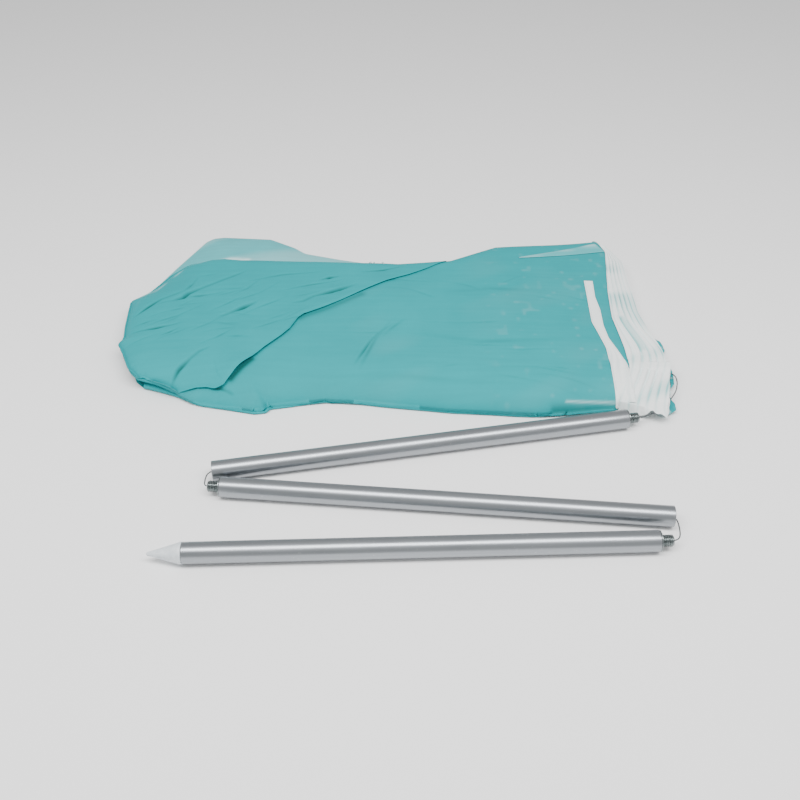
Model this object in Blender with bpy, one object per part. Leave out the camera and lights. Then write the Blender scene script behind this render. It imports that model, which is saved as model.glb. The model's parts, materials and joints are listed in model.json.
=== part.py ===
"""Packed feather flag: a folded flag with its pole in four cable-linked sections.

Three pole sections lie folded in front of the cloth, the fourth stays in the
flag's sleeve. Each section ends in a threaded stud, and the next one takes it
in a socket; a steel cable with a spring keeps every pair together.
Metres, +Z up. The origin is the middle of the footprint, on the floor.
"""

import bpy
import bmesh
import numpy as np
from math import cos, sin, pi, radians
from mathutils import Matrix, Vector

# ---- driving dimensions ---------------------------------------------------
TUBE_LENGTH = 0.470
TUBE_RADIUS = 0.011
TUBE_WALL = 0.0012
GAP = 0.0003                # between pieces that touch
INSERT_RADIUS = TUBE_RADIUS - TUBE_WALL - GAP
STUD_RADIUS = 0.0059        # M12 thread
STUD_REACH = 0.014          # how far the thread stands out of the tube
PLUG_DEPTH = 0.025
SOCKET_DEPTH = 0.026
SOCKET_BORE = 0.0062
SOCKET_THREAD = 0.019       # depth of the threaded bore
CABLE_RADIUS = 0.0007
CABLE_HOLE = 0.0015
FERRULE_RADIUS = 0.0022
FERRULE_LENGTH = 0.006
SPRING_RADIUS = 0.0035      # to the middle of the wire
SPRING_WIRE = 0.0005
SPRING_LENGTH = 0.027
SPRING_TURNS = 7
TIP_LENGTH = 0.035
STRAIGHT_GAP = 0.004        # stud to socket when two sections stand in line
ROUND = 24                  # sides of a turned piece

# Each section starts at its socket or its tip and runs along its heading.
SECTIONS = {
    "lower": ((-0.2019, -0.3148), 1.92),
    "middle": ((0.2902, -0.2655), 174.78),
    "upper": ((-0.1911, -0.1986), 10.64),
    "top": ((0.3377, -0.0254), 180.0),
}
INNER = {"lower": "middle", "middle": "upper", "upper": "top"}

# The cable's free loops, from the stud of one section to the next one's socket.
LOOPS = {
    "lower": [
        (0.2838, -0.2981), (0.2866, -0.2970), (0.2890, -0.2945), (0.2906, -0.2905),
        (0.2916, -0.2850), (0.2921, -0.2790), (0.2922, -0.2735), (0.2912, -0.2690),
        (0.2884, -0.2662), (0.2845, -0.2651),
    ],
    "middle": [
        (-0.1940, -0.2210), (-0.1957, -0.2188), (-0.1962, -0.2145), (-0.1962, -0.2090),
        (-0.1955, -0.2045), (-0.1935, -0.2010), (-0.1900, -0.1988), (-0.1860, -0.1976),
    ],
    "upper": [
        (0.2900, -0.1083), (0.2965, -0.1060), (0.3060, -0.1000), (0.3180, -0.0895),
        (0.3300, -0.0755), (0.3390, -0.0610), (0.3436, -0.0481), (0.3452, -0.0390),
        (0.3446, -0.0315), (0.3412, -0.0268), (0.3355, -0.0254),
    ],
}

# Outlines of the folded cloth, anticlockwise.
BUNDLE = [
    (-0.333, 0.010), (-0.318, -0.028), (-0.299, -0.034), (-0.257, -0.055),
    (-0.232, -0.076), (-0.161, -0.092), (-0.149, -0.089), (-0.107, -0.079),
    (-0.048, -0.075), (0.069, -0.092), (0.170, -0.097), (0.266, -0.087),
    (0.284, -0.034), (0.284, 0.009), (0.284, 0.075), (0.286, 0.135),
    (0.298, 0.235), (0.285, 0.272), (0.142, 0.248), (0.076, 0.210),
    (0.007, 0.200), (-0.068, 0.191), (-0.168, 0.197), (-0.233, 0.202),
    (-0.278, 0.175), (-0.301, 0.143), (-0.312, 0.112), (-0.333, 0.103),
    (-0.340, 0.056), (-0.341, 0.025),
]
BACK_LAYER = [
    (-0.340, 0.112), (-0.319, 0.121), (-0.308, 0.151), (-0.284, 0.183),
    (-0.237, 0.211), (-0.168, 0.206), (-0.068, 0.200), (0.000, 0.209),
    (0.007, 0.238), (-0.078, 0.260), (-0.129, 0.277), (-0.145, 0.293),
    (-0.184, 0.319), (-0.259, 0.325), (-0.273, 0.320), (-0.306, 0.237),
    (-0.337, 0.155), (-0.348, 0.147),
]
UPPER_RIGHT = [(0.262, -0.083), (0.263, 0.009), (0.254, 0.071), (0.259, 0.168), (0.262, 0.235)]
HEM_BAND = [
    (0.266, -0.081), (0.281, -0.078), (0.284, -0.034), (0.283, 0.000), (0.279, 0.050),
    (0.274, 0.100), (0.271, 0.168), (0.264, 0.168), (0.259, 0.071), (0.268, 0.009),
]
EDGE_FOLD = [
    (0.2865, 0.000), (0.2895, 0.000), (0.2900, 0.045), (0.2890, 0.075),
    (0.2920, 0.135), (0.3035, 0.235), (0.2890, 0.262), (0.2745, 0.168),
    (0.2775, 0.100), (0.2825, 0.050),
]
HEADER = [
    (0.2980, -0.008), (0.3330, -0.008), (0.3360, 0.040), (0.3330, 0.060),
    (0.3260, 0.104), (0.3280, 0.159), (0.3280, 0.227), (0.3130, 0.264),
    (0.2990, 0.297), (0.2940, 0.284), (0.3085, 0.237), (0.2970, 0.135),
    (0.2945, 0.075), (0.2955, 0.045),
]
SLEEVE_MOUTH = [
    (0.2920, -0.080), (0.3060, -0.095), (0.3180, -0.096), (0.3280, -0.060),
    (0.3310, -0.009), (0.2950, -0.009), (0.2930, -0.040),
]
PANEL_CORNER = [
    (0.3370, -0.004), (0.3450, -0.003), (0.3480, 0.020), (0.3430, 0.045), (0.3395, 0.040),
]
LOW_FOLDS_TOP = 0.0224
CREST = 0.045


# ---- helpers --------------------------------------------------------------
def clear_scene():
    for ob in list(bpy.data.objects):
        bpy.data.objects.remove(ob, do_unlink=True)


def finish_material(name, colour, roughness, metallic=0.0):
    mat = bpy.data.materials.new(name)
    mat.use_nodes = True
    shader = mat.node_tree.nodes["Principled BSDF"]
    shader.inputs["Base Color"].default_value = (*colour, 1.0)
    shader.inputs["Roughness"].default_value = roughness
    shader.inputs["Metallic"].default_value = metallic
    return mat


def empty_at(name, place, heading):
    ob = bpy.data.objects.new(name, None)
    ob.matrix_world = Matrix.Translation(place) @ Matrix.Rotation(heading, 4, "Z")
    bpy.context.collection.objects.link(ob)
    return ob


def add_object(name, bm, finish, parent=None, offset=(0.0, 0.0, 0.0), smooth=True):
    bmesh.ops.recalc_face_normals(bm, faces=bm.faces)
    mesh = bpy.data.meshes.new(name)
    bm.to_mesh(mesh)
    bm.free()
    ob = bpy.data.objects.new(name, mesh)
    bpy.context.collection.objects.link(ob)
    mesh.materials.append(finish_material(name, *finish))
    if smooth:
        mesh.shade_smooth()
        mesh.set_sharp_from_angle(angle=radians(35))
    ob.parent = parent
    ob.location = offset
    return ob


def turned(profile, closed=True, sides=ROUND):
    """A body of revolution about local X from (along, radius) points."""
    bm = bmesh.new()
    verts = [bm.verts.new((x, r, 0.0)) for x, r in profile]
    edges = [bm.edges.new(pair) for pair in zip(verts, verts[1:])]
    if closed:
        edges.append(bm.edges.new((verts[-1], verts[0])))
    bmesh.ops.spin(
        bm, geom=verts + edges, cent=(0, 0, 0), axis=(1, 0, 0),
        angle=2 * pi, steps=sides, use_merge=True,
    )
    bmesh.ops.remove_doubles(bm, verts=bm.verts, dist=1e-6)
    return bm


def ring(start, end, inner, outer, sides=ROUND):
    """A plain sleeve from start to end along local X."""
    return turned([(start, inner), (end, inner), (end, outer), (start, outer)], sides=sides)


def lofted(outline, levels):
    """A closed body from one outline; each level is (height, share of full size)."""
    points = np.array(outline)
    middle = points.mean(axis=0)
    bm = bmesh.new()
    loops = []
    for height, share in levels:
        ring_points = middle + (points - middle) * share
        loops.append([bm.verts.new((x, y, height)) for x, y in ring_points])
    bm.faces.new(reversed(loops[0]))
    for low, high in zip(loops, loops[1:]):
        for i in range(len(points)):
            j = (i + 1) % len(points)
            bm.faces.new((low[i], low[j], high[j], high[i]))
    bm.faces.new(loops[-1])
    bmesh.ops.triangulate(bm, faces=[f for f in bm.faces if len(f.verts) > 4])
    return bm


def heading_vector(name):
    angle = radians(SECTIONS[name][1])
    return np.array([cos(angle), sin(angle)])


def on_axis(name, along):
    """The plan point on a section's axis at this distance from its start."""
    return np.array(SECTIONS[name][0]) + along * heading_vector(name)


def fold_pivot(outer):
    """Where one turn carries a packed section into line with the next one."""
    inner = INNER[outer]
    angle = radians(SECTIONS[inner][1] - SECTIONS[outer][1])
    turn = np.array([[cos(angle), -sin(angle)], [sin(angle), cos(angle)]])
    stud_end = on_axis(outer, TUBE_LENGTH + STUD_REACH)
    in_line = on_axis(inner, -STRAIGHT_GAP)
    return np.linalg.solve(np.eye(2) - turn, in_line - turn @ stud_end)


def smooth_route(points, spacing):
    """Evenly spaced points on a Catmull-Rom curve through the route's points."""
    p = np.array(points)
    p = np.vstack([2 * p[0] - p[1], p, 2 * p[-1] - p[-2]])
    t = np.linspace(0, 1, 40, endpoint=False)[:, None]
    runs = [
        0.5 * (2 * b + (c - a) * t + (2 * a - 5 * b + 4 * c - d) * t**2
               + (3 * b - a - 3 * c + d) * t**3)
        for a, b, c, d in zip(p, p[1:], p[2:], p[3:])
    ]
    fine = np.vstack(runs + [p[-2:-1]])
    along = np.append(0, np.cumsum(np.linalg.norm(np.diff(fine, axis=0), axis=1)))
    at = np.linspace(0, along[-1], int(round(along[-1] / spacing)) + 1)
    return np.column_stack([np.interp(at, along, fine[:, k]) for k in range(3)])


def wire(name, points, radius, finish, resolution, parent=None, offset=(0.0, 0.0, 0.0)):
    """A round wire along the points, as a bevelled curve with filled caps."""
    curve = bpy.data.curves.new(name, "CURVE")
    curve.dimensions = "3D"
    curve.bevel_depth = radius
    curve.bevel_resolution = resolution
    curve.use_fill_caps = True
    spline = curve.splines.new("POLY")
    spline.points.add(len(points) - 1)
    spline.points.foreach_set("co", np.column_stack([points, np.ones(len(points))]).ravel())
    curve.materials.append(finish_material(name, *finish))
    ob = bpy.data.objects.new(name, curve)
    bpy.context.collection.objects.link(ob)
    ob.parent = parent
    ob.location = offset
    return ob


# ---- finishes: colour, roughness, metallic --------------------------------
ALUMINIUM = ((0.62, 0.62, 0.65), 0.32, 1.0)
STEEL = ((0.55, 0.56, 0.57), 0.30, 1.0)
DARK_STEEL = ((0.24, 0.26, 0.27), 0.40, 1.0)
CLEAR_PLASTIC = ((0.80, 0.83, 0.85), 0.35, 0.0)
DARK_PLASTIC = ((0.10, 0.10, 0.11), 0.50, 0.0)
TEAL_CLOTH = ((0.145, 0.462, 0.491), 0.80, 0.0)
PALE_TEAL_CLOTH = ((0.30, 0.62, 0.64), 0.80, 0.0)
WHITE_CLOTH = ((0.82, 0.86, 0.86), 0.80, 0.0)


# ---- pole -----------------------------------------------------------------
def section_empty(name):
    start, heading = SECTIONS[name]
    return empty_at(f"{name}_axis", (*start, TUBE_RADIUS), radians(heading))


def pole_tube(name, axis):
    bore = TUBE_RADIUS - TUBE_WALL
    add_object(f"{name}_tube", ring(0.0, TUBE_LENGTH, bore, TUBE_RADIUS), ALUMINIUM, axis)


def threaded_stud(name, axis):
    """Plug in the tube's end, a thin collar and the thread, drilled for the cable."""
    collar = TUBE_LENGTH + GAP
    end = TUBE_LENGTH + STUD_REACH
    profile = [
        (TUBE_LENGTH - PLUG_DEPTH, CABLE_HOLE), (end, CABLE_HOLE),
        (end, STUD_RADIUS - 0.0008), (end - 0.0008, STUD_RADIUS),
        (collar + 0.0012, STUD_RADIUS), (collar + 0.0012, TUBE_RADIUS - 0.0008),
        (collar, TUBE_RADIUS - 0.0004), (collar, INSERT_RADIUS),
        (TUBE_LENGTH - PLUG_DEPTH, INSERT_RADIUS),
    ]
    add_object(f"{name}_stud", turned(profile), STEEL, axis)


def threaded_socket(name, axis):
    """Insert with a threaded bore, a web behind it and a cable hole in the web."""
    profile = [
        (0.0005, SOCKET_BORE), (SOCKET_THREAD, SOCKET_BORE), (SOCKET_THREAD, CABLE_HOLE),
        (SOCKET_DEPTH, CABLE_HOLE), (SOCKET_DEPTH, INSERT_RADIUS), (0.0005, INSERT_RADIUS),
    ]
    add_object(f"{name}_socket", turned(profile), STEEL, axis)


def ground_tip(axis):
    """Spigot in the lower tube, a pointed cone outside and a rounded nub."""
    nub = 0.0021
    end = -TIP_LENGTH
    profile = [
        (0.022, 0.0), (0.022, INSERT_RADIUS), (-GAP, INSERT_RADIUS), (-GAP, TUBE_RADIUS),
        (-0.0020, TUBE_RADIUS), (end + 0.0045, nub + 0.0006), (end + 0.0020, nub),
        (end + 0.0006, nub * 0.72), (end, 0.0),
    ]
    add_object("ground_tip", turned(profile, closed=False), CLEAR_PLASTIC, axis)


def top_cap(axis):
    """Domed cap on the end of the section that stays in the sleeve."""
    end = TUBE_LENGTH
    profile = [
        (end - 0.018, 0.0), (end - 0.018, INSERT_RADIUS), (end + GAP, INSERT_RADIUS),
        (end + GAP, TUBE_RADIUS), (end + 0.0040, TUBE_RADIUS),
        (end + 0.0075, TUBE_RADIUS * 0.75), (end + 0.0090, 0.0),
    ]
    add_object("top_cap", turned(profile, closed=False), DARK_PLASTIC, axis)


def cable_link(outer):
    """The cable of one pair, with its spring, its stop and its anchor ferrule."""
    inner = INNER[outer]
    pivot = fold_pivot(outer)
    heading = radians(SECTIONS[outer][1])
    link = empty_at(f"{outer}_fold_axis", (*pivot, TUBE_RADIUS), heading)
    to_start = Matrix.Rotation(-heading, 2) @ Vector(SECTIONS[outer][0] - pivot)
    offset = (*to_start, 0.0)

    spring_end = TUBE_LENGTH - PLUG_DEPTH - GAP - SPRING_WIRE
    spring_start = spring_end - SPRING_LENGTH
    turn = np.linspace(0, 2 * pi * SPRING_TURNS, 10 * SPRING_TURNS + 1)
    coil = np.column_stack([
        np.linspace(spring_start, spring_end, len(turn)),
        SPRING_RADIUS * np.cos(turn), SPRING_RADIUS * np.sin(turn),
    ])
    wire(f"{outer}_spring", coil, SPRING_WIRE, STEEL, 1, link, offset)

    bore = CABLE_RADIUS + GAP
    stop_end = spring_start - SPRING_WIRE - GAP
    stop = ring(stop_end - FERRULE_LENGTH, stop_end, bore, SPRING_RADIUS + 0.001, 16)
    add_object(f"{outer}_cable_stop", stop, DARK_STEEL, link, offset)

    anchor_start = SOCKET_DEPTH + GAP
    anchor = ring(anchor_start, anchor_start + FERRULE_LENGTH, bore, FERRULE_RADIUS, 16)
    inner_axis = bpy.data.objects[f"{inner}_axis"]
    add_object(f"{outer}_cable_anchor", anchor, DARK_STEEL, inner_axis)

    start = stop_end - FERRULE_LENGTH + 0.0005
    stud_end = TUBE_LENGTH + STUD_REACH
    plan = [on_axis(outer, along) for along in np.linspace(start, stud_end, 6)]
    plan += LOOPS[outer]
    anchor_end = anchor_start + FERRULE_LENGTH - 0.0005
    plan += [on_axis(inner, along) for along in np.linspace(0.012, anchor_end, 4)]
    route = smooth_route([(x, y, TUBE_RADIUS) for x, y in plan], 0.0035)
    local = link.matrix_world.inverted()
    wire(f"{outer}_cable", [local @ Vector(p) for p in route], CABLE_RADIUS, DARK_STEEL, 2, link)


# ---- folded flag ----------------------------------------------------------
def lower_folds():
    """The folds that lie on the floor, with a slot where the top section lies."""
    levels = [(0.0, 0.985), (0.005, 1.0), (0.017, 1.0), (LOW_FOLDS_TOP, 0.99)]
    folds = add_object("flag_lower_folds", lofted(BUNDLE, levels), TEAL_CLOTH, smooth=False)
    slot_start = on_axis("top", TUBE_LENGTH + 0.018)
    slot_end = on_axis("top", -0.05)
    half = TUBE_RADIUS + 0.0008
    bm = bmesh.new()
    bmesh.ops.create_cube(bm, size=1.0)
    size = (slot_end[0] - slot_start[0], 2 * half, 0.1)
    bmesh.ops.scale(bm, vec=size, verts=bm.verts)
    middle = (slot_start + slot_end) / 2
    slot = add_object("slot_cutter", bm, DARK_PLASTIC, None, (*middle, 0.0), smooth=False)
    slot.hide_render = True
    slot.display_type = "WIRE"
    cut = folds.modifiers.new("slot", "BOOLEAN")
    cut.operation = "DIFFERENCE"
    cut.object = slot


def upper_folds():
    """The crowned folds over the top section, up to the hem band."""
    outline = [p for p in BUNDLE if p[0] < 0.255]
    start = outline.index((0.170, -0.097)) + 1
    outline = outline[:start] + UPPER_RIGHT + outline[start:]
    low = LOW_FOLDS_TOP + GAP
    levels = [(low, 0.985), (0.027, 0.985), (0.036, 0.93), (0.042, 0.80), (CREST, 0.55)]
    add_object("flag_upper_folds", lofted(outline, levels), TEAL_CLOTH, smooth=False)


def thin_layers():
    """The single layers, the white bands and the small corner at the right end."""
    low = LOW_FOLDS_TOP + GAP
    layers = {
        "flag_back_layer": (BACK_LAYER, [(0.0, 0.995), (0.008, 0.99)], PALE_TEAL_CLOTH),
        "hem_band": (HEM_BAND, [(low, 1.0), (0.034, 0.97)], WHITE_CLOTH),
        "flag_edge_fold": (EDGE_FOLD, [(low, 1.0), (0.034, 0.97)], TEAL_CLOTH),
        "sleeve_header": (HEADER, [(0.0, 1.0), (0.020, 0.98)], WHITE_CLOTH),
        "sleeve_mouth": (SLEEVE_MOUTH, [(low + 0.0005, 1.0), (0.030, 0.97)], WHITE_CLOTH),
        "flag_corner": (PANEL_CORNER, [(0.0, 1.0), (0.010, 0.95)], TEAL_CLOTH),
    }
    for name, (outline, levels, finish) in layers.items():
        add_object(name, lofted(outline, levels), finish, smooth=False)


def build():
    clear_scene()
    axes = {name: section_empty(name) for name in SECTIONS}
    bpy.context.view_layer.update()
    for name, axis in axes.items():
        pole_tube(name, axis)
    for name in INNER:
        threaded_stud(name, axes[name])
        threaded_socket(INNER[name], axes[INNER[name]])
        cable_link(name)
    ground_tip(axes["lower"])
    top_cap(axes["top"])
    lower_folds()
    upper_folds()
    thin_layers()


build()
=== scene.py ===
# %% [markdown]
# A packed feather flag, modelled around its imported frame.
#
# A feather flag is carried as a flat bundle of thin polyester with its pole folded in a zigzag
# beside it. The frame holds the pole, its joints and plain solids for the cloth, so this lesson
# only makes what the eye sees: drawn aluminium, cut threads, stranded wire and folded cloth.
# Everything is measured from the frame, in metres, with the floor at height zero.

# %% Load the frame
import json
from math import cos, pi, radians, sin, tau

import bmesh
import bpy
import numpy as np
from mathutils import Matrix, Vector


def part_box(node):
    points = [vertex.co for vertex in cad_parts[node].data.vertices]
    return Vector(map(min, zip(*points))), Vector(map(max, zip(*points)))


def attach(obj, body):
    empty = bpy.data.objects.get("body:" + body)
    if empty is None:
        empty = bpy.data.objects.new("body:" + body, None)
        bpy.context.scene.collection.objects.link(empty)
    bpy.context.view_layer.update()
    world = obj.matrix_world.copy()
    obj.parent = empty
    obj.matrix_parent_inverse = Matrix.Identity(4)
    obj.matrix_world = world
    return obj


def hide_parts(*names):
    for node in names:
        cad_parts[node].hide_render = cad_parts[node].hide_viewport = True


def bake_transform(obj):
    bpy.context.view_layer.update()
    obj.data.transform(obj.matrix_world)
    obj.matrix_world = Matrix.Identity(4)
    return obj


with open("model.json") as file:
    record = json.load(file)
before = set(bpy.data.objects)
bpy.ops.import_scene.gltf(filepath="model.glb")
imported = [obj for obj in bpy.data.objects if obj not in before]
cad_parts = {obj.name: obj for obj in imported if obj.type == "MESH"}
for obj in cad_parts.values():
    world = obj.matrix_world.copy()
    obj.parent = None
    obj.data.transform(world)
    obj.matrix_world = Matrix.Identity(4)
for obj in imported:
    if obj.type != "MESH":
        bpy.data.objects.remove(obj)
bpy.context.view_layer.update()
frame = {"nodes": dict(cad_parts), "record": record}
joints = {joint["name"]: joint for joint in frame["record"]["behaviour"]["joints"]}

# %% [markdown]
# The camera and the light come first, because every finish is judged in them. The bundle is seen
# from in front and from well above. A big soft box over the object puts one broad streak on the
# tubes, and a pale sky fills the rest, so that the cloth keeps its own colour.

# %% Camera
CAMERA_PITCH = 39.11        # degrees below the horizon
CAMERA_HEIGHT = 0.7007
CAMERA_PLACE = (0.011, -0.926)
LENS = 41.85                # millimetres, on a 36 mm sensor

camera_data = bpy.data.cameras.new("camera")
camera_data.lens = LENS
camera = bpy.data.objects.new("camera", camera_data)
camera.location = (*CAMERA_PLACE, CAMERA_HEIGHT)
camera.rotation_euler = (radians(90 - CAMERA_PITCH), 0, 0)
bpy.context.collection.objects.link(camera)
bpy.context.scene.camera = camera
print("camera at", tuple(round(c, 3) for c in camera.location))

# %% Light
SOFT_BOX_PLACE = Vector((0.0, -0.55, 1.45))
SOFT_BOX_SIZE = (2.4, 0.50)
SOFT_BOX_POWER = 46         # watts
SKY_STRENGTH = 0.72

soft_box = bpy.data.lights.new("overhead_box", "AREA")
soft_box.shape = "RECTANGLE"
soft_box.size, soft_box.size_y = SOFT_BOX_SIZE
soft_box.energy = SOFT_BOX_POWER
light = bpy.data.objects.new("overhead_box", soft_box)
light.location = SOFT_BOX_PLACE
light.rotation_euler = (-SOFT_BOX_PLACE).to_track_quat("-Z", "Y").to_euler()
bpy.context.collection.objects.link(light)

world = bpy.data.worlds.new("pale_sky")
bpy.context.scene.world = world
world.use_nodes = True
sky = world.node_tree.nodes["Background"]
sky.inputs["Color"].default_value = (1.0, 1.0, 1.0, 1)
sky.inputs["Strength"].default_value = SKY_STRENGTH
print("soft box:", SOFT_BOX_POWER, "watts, sky:", SKY_STRENGTH)

# %% [markdown]
# Finishes share a few effects: the grain of drawn metal, the weave of thin polyester and the fine
# dust and handling marks that any used thing has. Each is a node group with named inputs, built
# once. A group only puts out numbers and colours, and the shader itself stays in the material.

# %% Node helpers
def new_group(name, inputs, outputs):
    """An empty shader group with float inputs {name: default} and outputs {name: type}."""
    tree = bpy.data.node_groups.new(name, "ShaderNodeTree")
    for label, value in inputs.items():
        kind = "NodeSocketVector" if value is None else "NodeSocketFloat"
        socket = tree.interface.new_socket(label, in_out="INPUT", socket_type=kind)
        if value is not None:
            socket.default_value = value
    for label, kind in outputs.items():
        tree.interface.new_socket(label, in_out="OUTPUT", socket_type=kind)
    return tree, tree.nodes.new("NodeGroupInput"), tree.nodes.new("NodeGroupOutput")


def node(tree, kind, settings=None, **inputs):
    """Add a node, set its properties and fill its sockets with values or links."""
    made = tree.nodes.new(kind)
    for key, value in (settings or {}).items():
        setattr(made, key, value)
    for label, value in inputs.items():
        key = int(label[1:]) if label[0] == "i" and label[1:].isdigit() else label.replace("_", " ")
        if isinstance(value, bpy.types.NodeSocket):
            tree.links.new(value, made.inputs[key])
        else:
            made.inputs[key].default_value = value
    return made


def math_node(tree, operation, first, second=0.0, third=None):
    """One math step on numbers or links; only some operations take a third."""
    terms = {"i0": first, "i1": second}
    if third is not None:
        terms["i2"] = third
    return node(tree, "ShaderNodeMath", {"operation": operation}, **terms).outputs[0]


def mix_colour(tree, share, first, second):
    """Mix two colours by a share from 0 to 1."""
    made = tree.nodes.new("ShaderNodeMix")
    made.data_type = "RGBA"
    for index, value in ((0, share), (6, first), (7, second)):
        if isinstance(value, bpy.types.NodeSocket):
            tree.links.new(value, made.inputs[index])
        elif index == 0:
            made.inputs[0].default_value = value
        else:
            made.inputs[index].default_value = (*value, 1.0)
    return made.outputs[2]


print("node helpers: new_group, node, math_node, mix_colour")

# %% Weave, grain and handling groups
def weave_group():
    """Plain weave: warp and weft ribs that pass over and under, from a cloth map in metres."""
    tree, inside, outside = new_group(
        "plain_weave", {"Map": None, "Pitch": 0.0005}, {"Height": "NodeSocketFloat"}
    )
    split = node(tree, "ShaderNodeSeparateXYZ", i0=inside.outputs["Map"])
    turns = [
        math_node(tree, "DIVIDE", math_node(tree, "MULTIPLY", split.outputs[k], pi),
                  inside.outputs["Pitch"])
        for k in (0, 1)
    ]
    warp = math_node(tree, "ABSOLUTE", math_node(tree, "SINE", turns[0]))
    weft = math_node(tree, "ABSOLUTE", math_node(tree, "SINE", turns[1]))
    check = math_node(tree, "MULTIPLY", math_node(tree, "SINE", turns[0]),
                      math_node(tree, "SINE", turns[1]))
    over = math_node(tree, "GREATER_THAN", check, 0.0)
    under = math_node(tree, "SUBTRACT", 1.0, over)
    height = math_node(tree, "ADD", math_node(tree, "MULTIPLY", warp, over),
                       math_node(tree, "MULTIPLY", weft, under))
    tree.links.new(height, outside.inputs["Height"])
    return tree


def grain_group():
    """Long fine streaks along the first axis of a map, as drawing or turning leaves them."""
    tree, inside, outside = new_group(
        "drawn_grain", {"Map": None, "Along": 6.0, "Across": 900.0, "Detail": 3.0},
        {"Streaks": "NodeSocketFloat", "Clouds": "NodeSocketFloat"},
    )
    stretch = node(tree, "ShaderNodeCombineXYZ", X=inside.outputs["Along"],
                   Y=inside.outputs["Across"], Z=1.0)
    scaled = node(tree, "ShaderNodeVectorMath", {"operation": "MULTIPLY"},
                  i0=inside.outputs["Map"], i1=stretch.outputs[0])
    streaks = node(tree, "ShaderNodeTexNoise", Vector=scaled.outputs[0], Scale=1.0,
                   Detail=inside.outputs["Detail"], Roughness=0.6)
    clouds = node(tree, "ShaderNodeTexNoise", Vector=inside.outputs["Map"], Scale=14.0,
                  Detail=4.0, Roughness=0.55)
    tree.links.new(streaks.outputs["Fac"], outside.inputs["Streaks"])
    tree.links.new(clouds.outputs["Fac"], outside.inputs["Clouds"])
    return tree


def handling_group():
    """Soft smudges and tiny specks over a whole piece, from its own coordinates."""
    tree, inside, outside = new_group(
        "handling", {"Place": None, "Smudge Size": 0.03, "Speck Size": 0.0015},
        {"Smudge": "NodeSocketFloat", "Specks": "NodeSocketFloat"},
    )
    rates = [math_node(tree, "DIVIDE", 1.0, inside.outputs[k]) for k in (1, 2)]
    smudge = node(tree, "ShaderNodeTexNoise", Vector=inside.outputs["Place"], Scale=rates[0],
                  Detail=3.0, Roughness=0.6)
    speck = node(tree, "ShaderNodeTexNoise", Vector=inside.outputs["Place"], Scale=rates[1],
                 Detail=1.0, Roughness=0.5)
    rare = math_node(tree, "MULTIPLY", math_node(tree, "SUBTRACT", speck.outputs["Fac"], 0.68), 9)
    clean = node(tree, "ShaderNodeClamp", i0=rare)
    tree.links.new(smudge.outputs["Fac"], outside.inputs["Smudge"])
    tree.links.new(clean.outputs[0], outside.inputs["Specks"])
    return tree


WEAVE, GRAIN, HANDLING = weave_group(), grain_group(), handling_group()
print("shared groups:", WEAVE.name, GRAIN.name, HANDLING.name)

# %% [markdown]
# Metal finishes. Satin aluminium is drawn through a die, so its grain runs along the tube and a
# highlight on it has soft edges. Turned steel has rings, and wire rope is darker. One recipe makes
# all three, with different sizes and colours.

# %% Metal and plastic finishes
def start_material(name, roughness, metallic, colour):
    """A new Principled material, with its tree and shader."""
    material = bpy.data.materials.new(name)
    material.use_nodes = True
    tree = material.node_tree
    shader = tree.nodes["Principled BSDF"]
    shader.inputs["Roughness"].default_value = roughness
    shader.inputs["Metallic"].default_value = metallic
    shader.inputs["Base Color"].default_value = (*colour, 1.0)
    return material, tree, shader


def group_node(tree, group, **inputs):
    """One shared effect inside a material, with its own values."""
    return node(tree, "ShaderNodeGroup", {"node_tree": group}, **inputs)


def metal(name, light, dark, roughness, along, across, bump, use_map):
    """Grained metal: streaks in colour and roughness, smudges and a very shallow bump.

    Its grain follows the piece's own surface map, or the object's coordinates without one.
    """
    material, tree, shader = start_material(name, roughness, 1.0, light)
    source = node(tree, "ShaderNodeTexCoord").outputs["Object"]
    surface = source
    if use_map:
        surface = node(tree, "ShaderNodeUVMap", {"uv_map": "surface"}).outputs[0]
    grain = group_node(tree, GRAIN, Map=surface, Along=along, Across=across)
    marks = group_node(tree, HANDLING, Place=source, Smudge_Size=0.05)
    share = math_node(tree, "MULTIPLY_ADD", grain.outputs["Streaks"], 0.9, -0.1)
    colour = mix_colour(tree, share, dark, light)
    dusty = mix_colour(tree, math_node(tree, "MULTIPLY", marks.outputs["Specks"], 0.35),
                       colour, (0.75, 0.74, 0.72))
    tree.links.new(dusty, shader.inputs["Base Color"])
    rough = math_node(tree, "MULTIPLY_ADD", grain.outputs["Streaks"], 0.10, roughness - 0.05)
    rough = math_node(tree, "MULTIPLY_ADD", marks.outputs["Smudge"], 0.10,
                      math_node(tree, "SUBTRACT", rough, 0.05))
    tree.links.new(rough, shader.inputs["Roughness"])
    bumped = node(tree, "ShaderNodeBump", Strength=bump, Distance=0.0002,
                  Height=grain.outputs["Streaks"])
    tree.links.new(bumped.outputs[0], shader.inputs["Normal"])
    return material


def plastic(name, base, shade, roughness, subsurface):
    """Moulded plastic: faint clouding, smudges and a low sheen, milky where it lets light in."""
    material, tree, shader = start_material(name, roughness, 0.0, base)
    source = node(tree, "ShaderNodeTexCoord").outputs["Object"]
    marks = group_node(tree, HANDLING, Place=source, Smudge_Size=0.006, Speck_Size=0.0008)
    cloud = math_node(tree, "MULTIPLY_ADD", marks.outputs["Smudge"], 1.6, -0.4)
    tree.links.new(mix_colour(tree, cloud, shade, base), shader.inputs["Base Color"])
    rough = math_node(tree, "MULTIPLY_ADD", marks.outputs["Smudge"], 0.15, roughness - 0.07)
    tree.links.new(rough, shader.inputs["Roughness"])
    bumped = node(tree, "ShaderNodeBump", Strength=0.15, Distance=0.0003,
                  Height=marks.outputs["Smudge"])
    tree.links.new(bumped.outputs[0], shader.inputs["Normal"])
    shader.inputs["Subsurface Weight"].default_value = subsurface
    shader.inputs["Subsurface Radius"].default_value = (0.004, 0.004, 0.004)
    return material


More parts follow.
